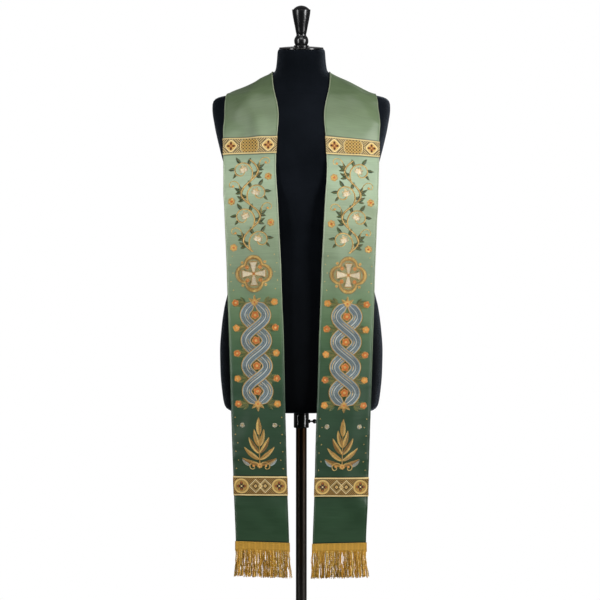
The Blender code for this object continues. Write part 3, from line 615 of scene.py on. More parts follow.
def front_y(x, z, missed):
    """How far back a strip can lie at a place seen from straight in front."""
    hit = jersey_tree.ray_cast(Vector((x, -1.0, z)), Vector((0.0, 1.0, 0.0)))[0]
    return missed if hit is None else hit.y - CLEAR


def front_grid(side):
    """Coarse rows from under the ridge to the hem. The strip lies on the jersey where that
    reaches it, and hangs straight from there."""
    shares = [(row, step / count) for row, count in enumerate(CELLS) for step in range(count)]
    stations = [row + (share if row else 1 - cos(share * pi / 2)) for row, share in shares[1:]]
    stations.append(len(CELLS) - 1)
    table = [(number, *row[:-1]) for number, row in enumerate(FRONT_ROWS.values())]
    for station, row in zip(stations, smooth_columns(table, stations)):
        inner_x, inner_z, outer_x, outer_z, outer_y, inner_lift, outer_lift = row
        if side < 0:
            inner_z += inner_lift
            outer_z += outer_lift
            outer_x += 0.0017 * min(1.0, max(0.0, (1.25 - outer_z) / 0.06))
        else:
            inner_x -= 0.0018 * min(1.0, max(0.0, (0.80 - inner_z) / 0.15))
        inner_y = HANG_Y
        if station < ROW_NAMES.index("chest"):
            inner_y = max(front_y(inner_x, inner_z, -CLEAR), HANG_Y)
        inner = np.array((inner_x, inner_y, inner_z))
        points = inner + (np.array((outer_x, outer_y, outer_z)) - inner) * EVENLY[:, None]
        yield [(x, min(y, front_y(x, z, y)), z) for x, y, z in points]


def evened(grid, rounds):
    """Takes out small angles, with the strip's outline kept across."""
    for _ in range(rounds):
        grid[1:-1] = (grid[:-2] + 2 * grid[1:-1] + grid[2:]) / 4
        grid[:, 1:-1] = (grid[:, :-2] + 2 * grid[:, 1:-1] + grid[:, 2:]) / 4
    return grid


def kept_clear(grid):
    """Moves points that are too near the jersey out to the clearance."""
    for place in np.ndindex(grid.shape[:2]):
        near, normal, _, _ = jersey_tree.find_nearest(Vector(grid[place]))
        short = CLEAR - (Vector(grid[place]) - near).dot(normal)
        if short > 0:
            grid[place] += np.array(normal) * short
    grid[0, :, 0] = GAP / 2
    return grid


def outward(grid):
    """Unit normals of a grid, away from the form."""
    normals = np.cross(np.gradient(grid, axis=0), np.gradient(grid, axis=1))
    return normals / np.linalg.norm(normals, axis=2, keepdims=True)


def resampled(values, old, new):
    """Rows of values, known at the old distances, read at the new ones."""
    flat = values.reshape(len(values), -1)
    made = np.column_stack([np.interp(new, old, flat[:, k]) for k in range(flat.shape[1])])
    return made.reshape(len(new), *values.shape[1:])


def hump(across, down, turn, long, broad):
    """A smooth hump of height one, by its half length along its turn and its half breadth."""
    length = (down * cos(turn) + across * sin(turn)) / long
    breadth = (across * cos(turn) - down * sin(turn)) / broad
    return np.exp(-(length**2) - breadth**2)


def relief(side, down, share, width):
    """Height of the folds and small puckers over the strip's plain lie, in metres. Down and
    width are columns, and share is a row."""
    rise = np.zeros(np.broadcast(down, share).shape)
    for middle, place, long, broad, height, slant in FOLDS[side]:
        slant = radians(slant)
        rise += height * hump((share - place) * width, down - middle, slant, long, broad)
    draw = np.random.default_rng(40 + side)
    for outer_side, reach in ((1.0, 0.024), (0.0, 0.014)):
        from_edge = np.abs(share - outer_side) * width
        for middle, half, slant, height in draw.uniform(*PUCKER, (PUCKERS, 4)):
            along = (down - middle + slant * from_edge) / half
            rise += height * np.exp(-(along**2) - (from_edge / reach) ** 2)
    for middle, place, long, broad, height, turn in draw.uniform(*DENT, (DENTS, 6)):
        rise += height * hump((share - place) * width, down - middle, turn, long, broad)
    calm = np.clip((down[-1] - 0.024 - down) / 0.05, 0.0, 1.0)
    return np.maximum(rise, 0.0) * calm


Strip = namedtuple("Strip", "side inner outer face normals down shares width level from_edge")


def lay_strip(side):
    """One strip of the stole as two grids of points, on its own side of the form."""
    coarse = np.array([*back_grid(), *front_grid(side)])
    coarse[0, :, 0] = GAP / 2
    for _ in range(3):  # the depth is evened down the front before it is laid finer
        depth = coarse[BACK_CELLS:, :, 1].copy()
        coarse[BACK_CELLS + 1 : -1, :, 1] = (depth[:-2] + 2 * depth[1:-1] + depth[2:]) / 4
    run = running(coarse[:, len(EVENLY) // 2])
    rows = np.arange(ROW_STEP, run[-1] - 0.0030, ROW_STEP)
    ends = np.array([0.0, *END_STEPS])
    rows = np.concatenate([ends, rows, run[-1] - ends[::-1]])
    level = np.interp(rows, run, np.arange(len(run)))

    def across(grid, old, new):
        return resampled(grid.swapaxes(0, 1), old, new).swapaxes(0, 1)

    grid = across(resampled(coarse, run, rows), EVENLY, FINELY)
    for _ in range(3):
        grid = kept_clear(evened(grid, 4))
    width = np.linalg.norm(grid[:, -1] - grid[:, 0], axis=1)
    edge = np.array(EDGE_STEPS) / width.mean()
    middle = np.linspace(edge[-1], 1 - edge[-1], 27)[1:-1]
    shares = np.concatenate([edge, middle, 1 - edge[::-1]])
    grid = across(grid, FINELY, shares)
    down = np.interp(level, np.arange(len(run)), run) - run[BACK_CELLS]
    rise = relief(side, down[:, None], shares[None, :], width[:, None])
    inner = grid + outward(grid) * rise[:, :, None]
    normals = outward(inner)
    from_edge = np.minimum(shares, 1 - shares)[None, :] * width[:, None]
    from_end = np.minimum(down - down[0], down[-1] - down)[:, None]
    inward = np.clip(np.minimum(from_edge, from_end) / EDGE_ROUND, 0, 1)
    round_off = np.sqrt(1 - (1 - inward) ** 2)
    bead = BEAD * np.exp(-(((from_edge - BEAD_IN) / 0.0010) ** 2))
    groove = BEAD * np.exp(-(((from_edge - STITCH_IN) / 0.0006) ** 2))
    half = CLOTH / 2 * round_off
    core = inner + normals * (CLOTH / 2)
    outer = core + normals * (half + (bead - groove) * round_off)[:, :, None]
    inner = core - normals * half[:, :, None]
    for surface in (outer, inner):
        surface[0, :, 0] = GAP / 2
    face = core + normals * (CLOTH / 2)
    return Strip(side, inner, outer, face, normals, down, shares, width, level, from_edge)


STRIPS = [("left", lay_strip(+1)), ("right", lay_strip(-1))]

# ---------------------------------------------------------------- stole panels
# Each panel is satin over an interlining. Its colour goes by height: lightest sage just below the
# chest ribbon, darker towards the shoulder, and deepening to forest green at the hem. The long
# edges are rolled to the back and held by a row of stitches.
DYE = (  # height, then a colour chart's red, green and blue
    (0.360, 42, 67, 44), (0.450, 40, 66, 43), (0.600, 40, 63, 44), (0.740, 44, 70, 49),
    (0.820, 60, 88, 60), (0.880, 77, 103, 71), (0.940, 100, 123, 91), (1.000, 118, 136, 108),
    (1.060, 130, 147, 118), (1.130, 148, 164, 134), (1.200, 157, 176, 146),
    (1.250, 148, 167, 138), (1.280, 136, 154, 124), (1.305, 123, 141, 110),
    (1.330, 112, 131, 99), (1.360, 101, 119, 86), (1.410, 90, 107, 77), (1.470, 81, 98, 69),
)
DYE_FOOT, DYE_TOP = 0.36, 1.48
PAINTED_EDGE_LIGHT = linear(166, 172, 146)  # a painted highlight along the rolled edges, where they catch the light from the side
STITCH_PITCH = 0.0052
TAPED = (  # the rows between which a woven tape covers the satin
    ("upper_band_top", "upper_band_bottom"), ("lower_band_top", "lower_band_bottom"),
    ("heading_top", "hem"),
)

# Long floats down the cloth, a few thicker threads across it, and a soft lustre.
satin = Finish("green_satin", {
    "Roughness": 0.42,
    "Sheen Weight": 0.12,
    "Sheen Roughness": 0.30,
    "Sheen Tint": (0.80, 0.92, 0.74, 1.0),
    "Specular IOR Level": 0.42,
    "Anisotropic": 0.40,
})
cloth = satin.add("UVMap", uv_map="cloth")
warp, weft, slub, painted_dent_shade = (  # each drawn out by its counts to the metre, across and down
    satin.noise(1.0, detail, satin.drawn_out((across, down, 1.0), cloth))
    for across, down, detail in ((2600, 170, 2.0), (18, 900, 3.0), (20, 330, 2.0), (13, 26, 2.0))
)
height = satin.apart(satin.place)[2]
stops = [((z - DYE_FOOT) / (DYE_TOP - DYE_FOOT), *chart) for z, *chart in DYE]
dyed_and_shaded = satin.ramp(satin.spread(height, DYE_FOOT, DYE_TOP), *stops)
from_edge, from_tape = (
    satin.add("Attribute", out="Fac", attribute_name=name) for name in ("from_edge", "from_tape")
)
# The broad patches are painted shade that stands in for soft dents in the cloth.
bright = warp * 0.10 + 0.47 + weft * 0.16 + slub * 0.30 + painted_dent_shade * 0.50
# Painted shade darkens the satin along the edges of the ribbons and the braid.
dyed_and_shaded = satin.scaled(dyed_and_shaded, bright * satin.spread(from_tape, 0.0008, 0.0038, 0.32, 1.0))
# A painted highlight lightens the rolled edges. It fades out towards the hem.
edge_light = satin.spread(slub * 0.0010 + from_edge, 0.0018, 0.0032, 0.52, 0.0)
edge_light = edge_light * satin.spread(height, 0.70, 1.15)
edge_lit = {0: edge_light, 6: dyed_and_shaded, 7: (*PAINTED_EDGE_LIGHT, 1.0)}
satin.feed("Base Color", satin.add("Mix", edge_lit, 2, data_type="RGBA"))
satin.emboss(warp + weft * 0.8, 0.22, 0.0003)
satin.roughen(slub, 0.30, 0.54)


def marked(mesh, name, values):
    """Gives each point of a mesh its own number or colour."""
    values = np.array(values, np.float32)
    kind, field = ("FLOAT", "value") if values.ndim == 1 else ("FLOAT_COLOR", "color")
    mesh.attributes.new(name, kind, "POINT").data.foreach_set(field, values.ravel())


def cloth_mesh(name, front, back, across, down, coarse=1, sharp=60.0, **marks):
    """A closed sheet between two grids, with its weave's coordinates in metres. Its back may
    keep only some of the lines. A mark is a pair of grids, for the front and the back."""

    def both(one, two):
        two = two[::coarse, ::coarse]
        return np.concatenate([g.reshape(-1, *g.shape[2:]) for g in (one, two)])

    fine = np.arange(front[..., 0].size).reshape(front.shape[:2])
    wide = np.arange(back[::coarse, ::coarse, 0].size) + fine.size
    wide = wide.reshape(back[::coarse, ::coarse].shape[:2])
    faces = []
    for g in (fine, wide[:, ::-1]):
        quads = np.stack([g[:-1, :-1], g[:-1, 1:], g[1:, 1:], g[1:, :-1]], axis=-1)
        faces += quads.reshape(-1, 4).tolist()
    near, far = (
        np.concatenate([g[0], g[1:, -1], g[-1, -2::-1], g[-2:0:-1, 0]]) for g in (fine, wide)
    )
    for k in range(len(far)):
        edge = near.take(range(k * coarse, (k + 1) * coarse + 1), mode="wrap")
        faces.append([*edge.tolist(), int(far[(k + 1) % len(far)]), int(far[k])])
    mesh = closed_mesh(name, both(front, back), faces, sharp)
    corners = np.empty(len(mesh.loops), int)
    mesh.loops.foreach_get("vertex_index", corners)
    places = np.stack(np.broadcast_arrays(across, down), axis=-1)
    places = both(places, places)[corners].ravel().astype(np.float32)
    mesh.uv_layers.new(name="cloth").data.foreach_set("uv", places)
    for label, pair in marks.items():
        marked(mesh, label, both(*pair))
    return mesh


def row_down(strip, name):
    """Metres from the ridge to a named row of the front."""
    number = BACK_CELLS + sum(CELLS[: ROW_NAMES.index(name)])
    return float(np.interp(number, strip.level, strip.down))


for word, strip in STRIPS:
    outer, inner = strip.outer.copy(), strip.inner.copy()
    for line in (np.s_[0], np.s_[-1], np.s_[:, 0], np.s_[:, -1]):
        inner[line] = outer[line] - strip.normals[line] * 0.0001
    # How far each row is from the nearest tape, for the painted shade along the tapes' edges.
    beyond = [
        np.maximum(row_down(strip, top) - strip.down, strip.down - row_down(strip, foot))
        for top, foot in TAPED
    ]
    from_tape = np.broadcast_to(np.min(beyond, axis=0)[:, None], strip.from_edge.shape)
    mirror = np.array((strip.side, 1.0, 1.0))
    across = (strip.shares[None, :] - 0.5) * strip.width[:, None]
    mesh = cloth_mesh(
        f"{word}_satin", outer * mirror, inner * mirror, across, strip.down[:, None],
        from_edge=(strip.from_edge,) * 2, from_tape=(from_tape, np.full(from_tape.shape, 9.0)),
    )
    dressed(mesh, satin, "form", "green_satin", f"{word}_panel")


def on_strip(strip, down, across, lift):
    """Points over a strip's face, by metres below the ridge, out from its middle, and proud.

    A point past an edge goes straight on.
    """
    down, across, lift = np.broadcast_arrays(down, across, lift)
    rows, columns = len(strip.down), len(strip.shares)
    width = np.interp(down, strip.down, strip.width)
    share = 0.5 + across / width
    row = np.interp(down, strip.down, np.arange(rows))
    column = np.interp(share, strip.shares, np.arange(columns))
    r, c = np.minimum(row.astype(int), rows - 2), np.minimum(column.astype(int), columns - 2)
    v, u = (row - r)[..., None], (column - c)[..., None]

    def read(grid):
        top = grid[r, c] * (1 - u) + grid[r, c + 1] * u
        return top * (1 - v) + (grid[r + 1, c] * (1 - u) + grid[r + 1, c + 1] * u) * v

    over = ((share - np.clip(share, 0, 1)) * width)[..., None]
    sideways = read(strip.face[:, -1:].repeat(columns, 1) - strip.face[:, :1])
    sideways /= np.linalg.norm(sideways, axis=-1, keepdims=True)
    points = read(strip.face) + read(strip.normals) * lift[..., None] + sideways * over
    return points * np.array((strip.side, 1.0, 1.0))


THREADS = bpy.data.node_groups.new("threads", "GeometryNodeTree")
THREAD_INPUTS = (
    ("Lines", "Geometry", None),
    ("Steps", "Int", 0),
    ("Sides", "Int", 4),
    ("Plies", "Int", 1),
    ("Ply Spread", "Float", 0.0),
    ("Twist Pitch", "Float", 0.006),
    ("Wander", "Float", 0.0),
    ("Wander Scale", "Float", 60.0),
    ("Seed", "Int", 1),
    ("Material", "Material", None),
)
for name, kind, value in (*THREAD_INPUTS, ("Threads", "Geometry", None)):
    way = "OUTPUT" if name == "Threads" else "INPUT"
    face = THREADS.interface.new_socket(name, in_out=way, socket_type=f"NodeSocket{kind}")
    if value is not None:
        face.default_value = value

# Makes round threads of open lines, twisted from plies where there are more than one.
tree = Nodes(THREADS, "GeometryNode")
add, calc = tree.add, tree.calc
lines, steps, sides, plies, spread, pitch, wander, scale, seed, material = add(
    "NodeGroupInput", out=tuple(name for name, *_ in THREAD_INPUTS)
)
curves = add("MeshToCurve", {0: lines})
finer = add("ResampleCurve", {"Curve": curves, "Count": steps})
some = add("FunctionNodeCompare", {2: steps, 3: 1}, data_type="INT", operation="GREATER_THAN")
chosen = {"Switch": some, "False": curves, "True": finer}
chosen = add("Switch", chosen, input_type="GEOMETRY")
doubled = {"Geometry": chosen, "Amount": plies}
doubled, number = add("DuplicateElements", doubled, (0, 1), domain="SPLINE")
length = add("SplineParameter", out="Length")
angle = (length / pitch + number / plies) * tau
normal = add("InputNormal")


def vector_sum(operation, one, two):
    return add("ShaderNodeVectorMath", {0: one, 1: two}, operation=operation)


beside = vector_sum("CROSS_PRODUCT", add("InputTangent"), normal)
one, two = tree.scaled(normal, calc("COSINE", angle)), tree.scaled(beside, calc("SINE", angle))
apart = tree.scaled(vector_sum("ADD", one, two), spread)
place = add("InputPosition")
noise = {"Vector": place, "W": seed, "Scale": scale, "Detail": 1.0}
noise = add("ShaderNodeTexNoise", noise, "Color", noise_dimensions="4D")
loose = wander * calc("MINIMUM", length * 60.0, 1.0)
drift = tree.scaled(vector_sum("SUBTRACT", noise, (0.5, 0.5, 0.5)), loose)
moved = add("SetPosition", {"Geometry": doubled, "Offset": vector_sum("ADD", apart, drift)})
girth = add("InputNamedAttribute", {"Name": "girth"}, data_type="FLOAT")
thick = add("SetCurveRadius", {"Curve": moved, "Radius": girth})
stored = {"Geometry": thick, "Name": "along", "Value": length}
stored = add("StoreNamedAttribute", stored, data_type="FLOAT", domain="POINT")
section = add("CurvePrimitiveCircle", {"Resolution": sides, "Radius": 1.0})
section = {"Geometry": section, "Name": "round", "Value": place}
section = add("StoreNamedAttribute", section, data_type="FLOAT_VECTOR", domain="POINT")
swept = {"Curve": stored, "Profile Curve": section, "Scale": girth, "Fill Caps": True}
smooth = add("SetShadeSmooth", {"Geometry": add("CurveToMesh", swept)})
real = add("RealizeInstances", {0: smooth})
add("NodeGroupOutput", {0: add("SetMaterial", {"Geometry": real, "Material": material})}, ())


def threads(name, lines, finish, slot, **settings):
    """A piece of threads on the form. Lines are (points in metres, colour, girth) triples; a
    colour's fourth value is how metallic it is."""
    paths, colours, girths = zip(*lines)
    counts = [len(path) for path in paths]
    ends = set(np.cumsum(counts) - 1)
    edges = [(i, i + 1) for i in range(sum(counts)) if i not in ends]
    mesh = bpy.data.meshes.new(name)
    mesh.from_pydata(np.concatenate(paths).tolist(), edges, [])
    marked(mesh, "thread", np.repeat(colours, counts, axis=0))
    marked(mesh, "girth", np.repeat(girths, counts))
    piece = in_scene(name, mesh)
    grow = piece.modifiers.new("threads", "NODES")
    grow.node_group = THREADS
    sockets = {s.name: s.identifier for s in THREADS.interface.items_tree if s.in_out == "INPUT"}
    for label, value in {"Material": finish.material, **settings}.items():
        grow[sockets[label]] = value
    graph = bpy.context.evaluated_depsgraph_get()
    made = bpy.data.meshes.new_from_object(
        piece.evaluated_get(graph), preserve_all_data_layers=True, depsgraph=graph
    )
    piece.modifiers.clear()
    piece.data = made
    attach(piece, "form")
    return piece


def of_threads(finish, relief, shade, grain, mottled, rough, strength):
    """Ends a finish whose colours, and how metallic they are, come with the piece."""
    colour, metal = finish.add("Attribute", out=("Color", "Alpha"), attribute_name="thread")
    cloud = finish.noise(grain, 3.0)
    # The relief is painted into the colour too: painted shade in its hollows, painted light on its
    # crests.
    bright = relief * shade + (cloud * mottled + (1 - mottled / 2))
    finish.feed("Base Color", finish.scaled(colour, bright))
    finish.feed("Metallic", metal)
    finish.roughen(cloud, *rough)
    finish.emboss(relief, strength, 0.0003)
    return finish


def rayon(name, rough, sheen, tint):
    """Twisted rayon or metallic thread."""
    values = {"Sheen Weight": sheen, "Sheen Roughness": 0.4, "Sheen Tint": (*tint, 1.0)}
    made = Finish(name, values)
    turn = made.add("Attribute", out="Fac", attribute_name="along") * (tau / 0.0011)
    x, y, _ = made.apart(made.add("Attribute", out="Vector", attribute_name="round"))
    twist = made.calc("SINE", turn) * x + made.calc("COSINE", turn) * y
    return of_threads(made, twist, 0.10, 260.0, 0.5, rough, 0.35)


rayon_thread = rayon("rayon_thread", (0.30, 0.50), 0.25, (1.0, 1.0, 1.0))
dye_heights = np.array([z for z, *_ in DYE])
dye_colours = np.array([linear(*chart) for _, *chart in DYE])
for word, strip in STRIPS:  # prick stitches just inside the rolled edges
    lines = []
    chance = np.random.default_rng(7 + strip.side)
    for hand in (-1.0, 1.0):
        for down in np.arange(strip.down[0] + 0.006, strip.down[-1] - 0.026, STITCH_PITCH):
            across = hand * (float(np.interp(down, strip.down, strip.width)) / 2 - STITCH_IN)
            reach = 0.0009 + chance.uniform(-0.0002, 0.0002)
            steps = np.array((-1.0, 0.0, 1.0)) * reach + down + chance.uniform(-0.0004, 0.0004)
            height = np.interp(down, strip.down, strip.face[:, 20, 2])
            tone = 0.82 * resampled(dye_colours, dye_heights, [height])[0]
            line = on_strip(strip, steps, across, np.array((-0.0006, -0.00015, -0.0006)))
            lines.append((line, (*tone, 0.0), 0.00022))
    threads(f"{word}_edge_stitches", lines, rayon_thread, "green_satin")

# ---------------------------------------------------------------- woven ribbons
# Jacquard ribbons in gold, cream, brown and rust cross each strip at the chest and above the
# hem. Their ends turn round the rolled edges.
TAPE_LIFT = 0.0003
TAPE_STEP = 0.00064
TAPE_TURN = 0.0009  # the radius in which a tape goes round the strip's edge
RIBBON_THICK = 0.0007


def yarn(red, green, blue, metal=0.0):
    """A thread's colour from a chart's values, and how metallic it is."""
    return (*linear(red, green, blue), metal)


CREAM = yarn(244, 220, 158)
PALE_GOLD = yarn(216, 182, 106, 0.15)
GOLD = yarn(172, 134, 64, 0.25)
BRONZE = yarn(120, 84, 32, 0.2)
UMBER = yarn(38, 22, 8)
RUST = yarn(150, 76, 26)


def woven(ground, *layers):
    """Paints colours over a ground. Each lies where its distance in millimetres is under
    zero, and fades over half a millimetre."""
    colours = np.array(ground)
    for inside, colour in layers:
        weight = np.clip(0.5 - inside / 0.55, 0.0, 1.0)[..., None]
        colours = colours * (1 - weight) + np.array(colour) * weight
    return colours


def four_leaves(x, y, reach, leaf_colour, tip_colour, eye_colour):
    """A leaf to each side of an eye."""
    for along, aside in ((x, y), (-x, y), (y, x), (-y, x)):
        for place, long, broad, soft, colour in (
            (0.56, 0.44, 0.31, 0.4, leaf_colour), (0.74, 0.24, 0.18, 0.3, tip_colour),
        ):
            oval = np.hypot((along - place * reach) / long, aside / broad) - reach
            yield oval * soft, colour
    yield np.hypot(x, y) - 0.15 * reach, eye_colour


def zigzags(steps, period, light, dark):
    """A light line and a dark line in every period of a distance."""
    yield np.abs(steps % period - period / 2) - 0.17 * period, light
    yield np.abs((steps + period / 2) % period - period / 2) - 0.20 * period, dark


def borders(t, half):
    """The ribbon's two cream borders, each inside a dark line."""
    yield half - 3.3 - np.abs(t), UMBER
    yield half - 2.7 - np.abs(t), CREAM
    yield np.abs(np.abs(t) - half + 0.5) - 0.35, GOLD


def chest_ribbon(s, t, half):
    """Cream lozenges that hold four leaves, and a gold lattice in a frame between them."""
    x = np.abs(s) - 43.0
    middle = np.maximum(np.abs(s) - 22.0, np.abs(s) + 0.75 * np.abs(t) - 28.0)
    lattice = np.minimum(np.abs((s + t) % 7.2 - 3.6), np.abs((s - t) % 7.2 - 3.6)) - 0.8
    seeds = [np.hypot((s + k) % 7.2 - 3.6, (t + k) % 7.2 - 3.6) for k in (3.6, 0.0)]
    lozenge = (np.abs(x) ** 1.3 + np.abs(t) ** 1.3) ** (1 / 1.3) - half + 4.4
    return woven(
        BRONZE,
        *zigzags(np.abs(x) + np.abs(t), 5.2, CREAM, UMBER),
        (middle - 1.6, UMBER),
        (middle, GOLD),
        (np.maximum(middle + 1.6, lattice), PALE_GOLD),
        (np.maximum(middle + 1.6, seeds[0] - 1.9), UMBER),
        (np.maximum(middle + 1.6, seeds[1] - 1.5), BRONZE),
        (np.abs(middle + 0.6) - 0.8, CREAM),
        (lozenge - 1.3, UMBER),
        (lozenge, CREAM),
        (lozenge + 3.0, PALE_GOLD),
        (np.abs(lozenge + 3.0) - 0.3, GOLD),
        *four_leaves(x, t, 9.6, RUST, UMBER, PALE_GOLD),
        *borders(t, half),
    )


def hem_ribbon(s, t, half):
    """Gold rings that hold four leaves, and two linked lozenges in zigzags between them."""
    x = np.abs(s) - 42.0
    ring = np.hypot(x, t) - half + 5.0
    sizes = [np.abs(s - centre) + np.abs(t) - 15.8 for centre in (-10.6, 10.6)]
    linked = [(size, UMBER) for size in sizes]
    for size in sizes:
        linked += [
            (np.abs(size + 1.2) - 0.95, CREAM),
            (np.abs(size + 4.6) - 0.7, PALE_GOLD),
            (np.abs(size + 7.6) - 0.6, GOLD),
            (size + 11.6, PALE_GOLD),
            (size + 14.2, RUST),
        ]
    return woven(
        BRONZE,
        *zigzags(np.abs(s) + np.abs(t), 4.6, GOLD, UMBER),
        *linked,
        (ring - 0.9, UMBER),
        (ring, PALE_GOLD),
        (np.abs(ring + 1.9) - 0.3, GOLD),
        (ring + 3.7, UMBER),
        (ring + 4.4, GOLD),
        *four_leaves(x, t, 10.4, UMBER, RUST, CREAM),
        *borders(t, half),
    )


def woven_metal(name, ribs_across, ribs_along):
    """Ribbed weaving, some of its threads metallic."""
    made = Finish(name, {"Sheen Weight": 0.05, "Specular IOR Level": 0.3})
    x, y, _ = made.apart(made.add("UVMap", uv_map="cloth"))
    wave_x = made.calc("SINE", x * (tau / ribs_across))
    wave_y = made.calc("SINE", y * (tau / ribs_along))
    return of_threads(made, wave_x * 0.5 + wave_y * 0.5, 0.12, 420.0, 0.4, (0.34, 0.55), 0.5)


def tape(name, strip, top, foot, colouring, thick, finish, slot, node, overhang=0.0, ribs=None):
    """A woven piece across the whole strip. Its ends turn round the strip's edges."""
    middle, high = (top + foot) / 2, (foot - top) / 2
    down = np.linspace(top, foot, int((foot - top) / TAPE_STEP) // 6 * 6 + 1)[:, None]
    half = np.interp(down, strip.down, strip.width) / 2 + overhang
    flat = np.linspace(-1.0, 1.0, int(2 * half.mean() / TAPE_STEP) // 6 * 6 - 11)
    bend = np.radians((90.0, 90.0, 72.0, 54.0, 36.0, 18.0))
    reach, fall = TAPE_TURN * np.sin(bend), TAPE_TURN * (1 - np.cos(bend))
    fall[0] = 1.9 * TAPE_TURN
    reach, fall = (np.concatenate([g, 0 * flat, g[::-1]]) for g in (reach, fall))
    share = np.concatenate([[-1.0] * 6, flat, [1.0] * 6])
    across = half * share + np.sign(share) * reach
    s, t = share * half * 1000, np.broadcast_to((down - middle) * 1000, across.shape)
    colours = colouring(s, t, high * 1000)
    raised = thick + (ribs(s) if ribs else 0.0) + 0.00012 * (colours[..., :3].mean(axis=-1) - 0.2)
    edge = np.clip((high - np.abs(down - middle)) / 0.0005, 0, 1)
    raised = raised * (0.55 + 0.45 * np.sqrt(1 - (1 - edge) ** 2))
    front = on_strip(strip, down, across, TAPE_LIFT + raised - fall)
    inset = np.sign(share) * np.minimum(reach, TAPE_TURN * 0.4)
    back = on_strip(strip, down, half * share + inset, TAPE_LIFT - fall)
    marks = {"thread": (colours, colours)}
    mesh = cloth_mesh(name, front, back, s / 1000, t / 1000, 6, 50, **marks)
    return dressed(mesh, finish, "form", slot, node)


ribbon_weave = woven_metal("ribbon_weave", 0.0006, 0.0005)
trimmings = {word: [] for word, _ in STRIPS}
for word, strip in STRIPS:
    for place, colouring in (("upper", chest_ribbon), ("lower", hem_ribbon)):
        ends = [row_down(strip, f"{place}_band_{end}") for end in ("top", "bottom")]
        look = (colouring, RIBBON_THICK, ribbon_weave, "gold_galloon", f"{word}_{place}_band")
        trimmings[word].append(tape(f"{word}_{place}_ribbon", strip, *ends, *look))

# ---------------------------------------------------------------- embroidery
# The ground between the ribbons is worked by hand in rayon and metallic gold. From the top it
# holds a scrolling vine with lilies, a gold quatrefoil, a two-strand guilloche in blue-grey
# with orange rosettes, and a gold palmette.
THREAD = 0.34  # millimetres, the radius of a working thread
STEP = 0.72
SUNLIT_GOLD = yarn(246, 214, 140, 0.20)
BRIGHT_GOLD = yarn(226, 190, 112, 0.30)
DEEP_GOLD = yarn(190, 148, 76, 0.30)
OLD_GOLD = yarn(150, 110, 52, 0.20)
IVORY = yarn(240, 226, 196)
FLAX = yarn(220, 192, 138)
LEAF_DARK = yarn(38, 66, 40)
LEAF_MID = yarn(76, 102, 58)
OLIVE = yarn(120, 126, 66)
SLATE = yarn(68, 92, 110)
BLUE_GREY = yarn(120, 144, 154)
MIST = yarn(168, 186, 190)
SILVER = yarn(176, 172, 152, 0.25)
ORANGE = yarn(214, 122, 50)
AMBER = yarn(232, 164, 74)


def way(angle):
    """The direction of an angle, or of each of several."""
    return np.exp(1j * angle)


def headings(path):
    """The direction at each point of a path."""
    ways = np.gradient(path)
    return ways / np.maximum(np.abs(ways), 1e-9)


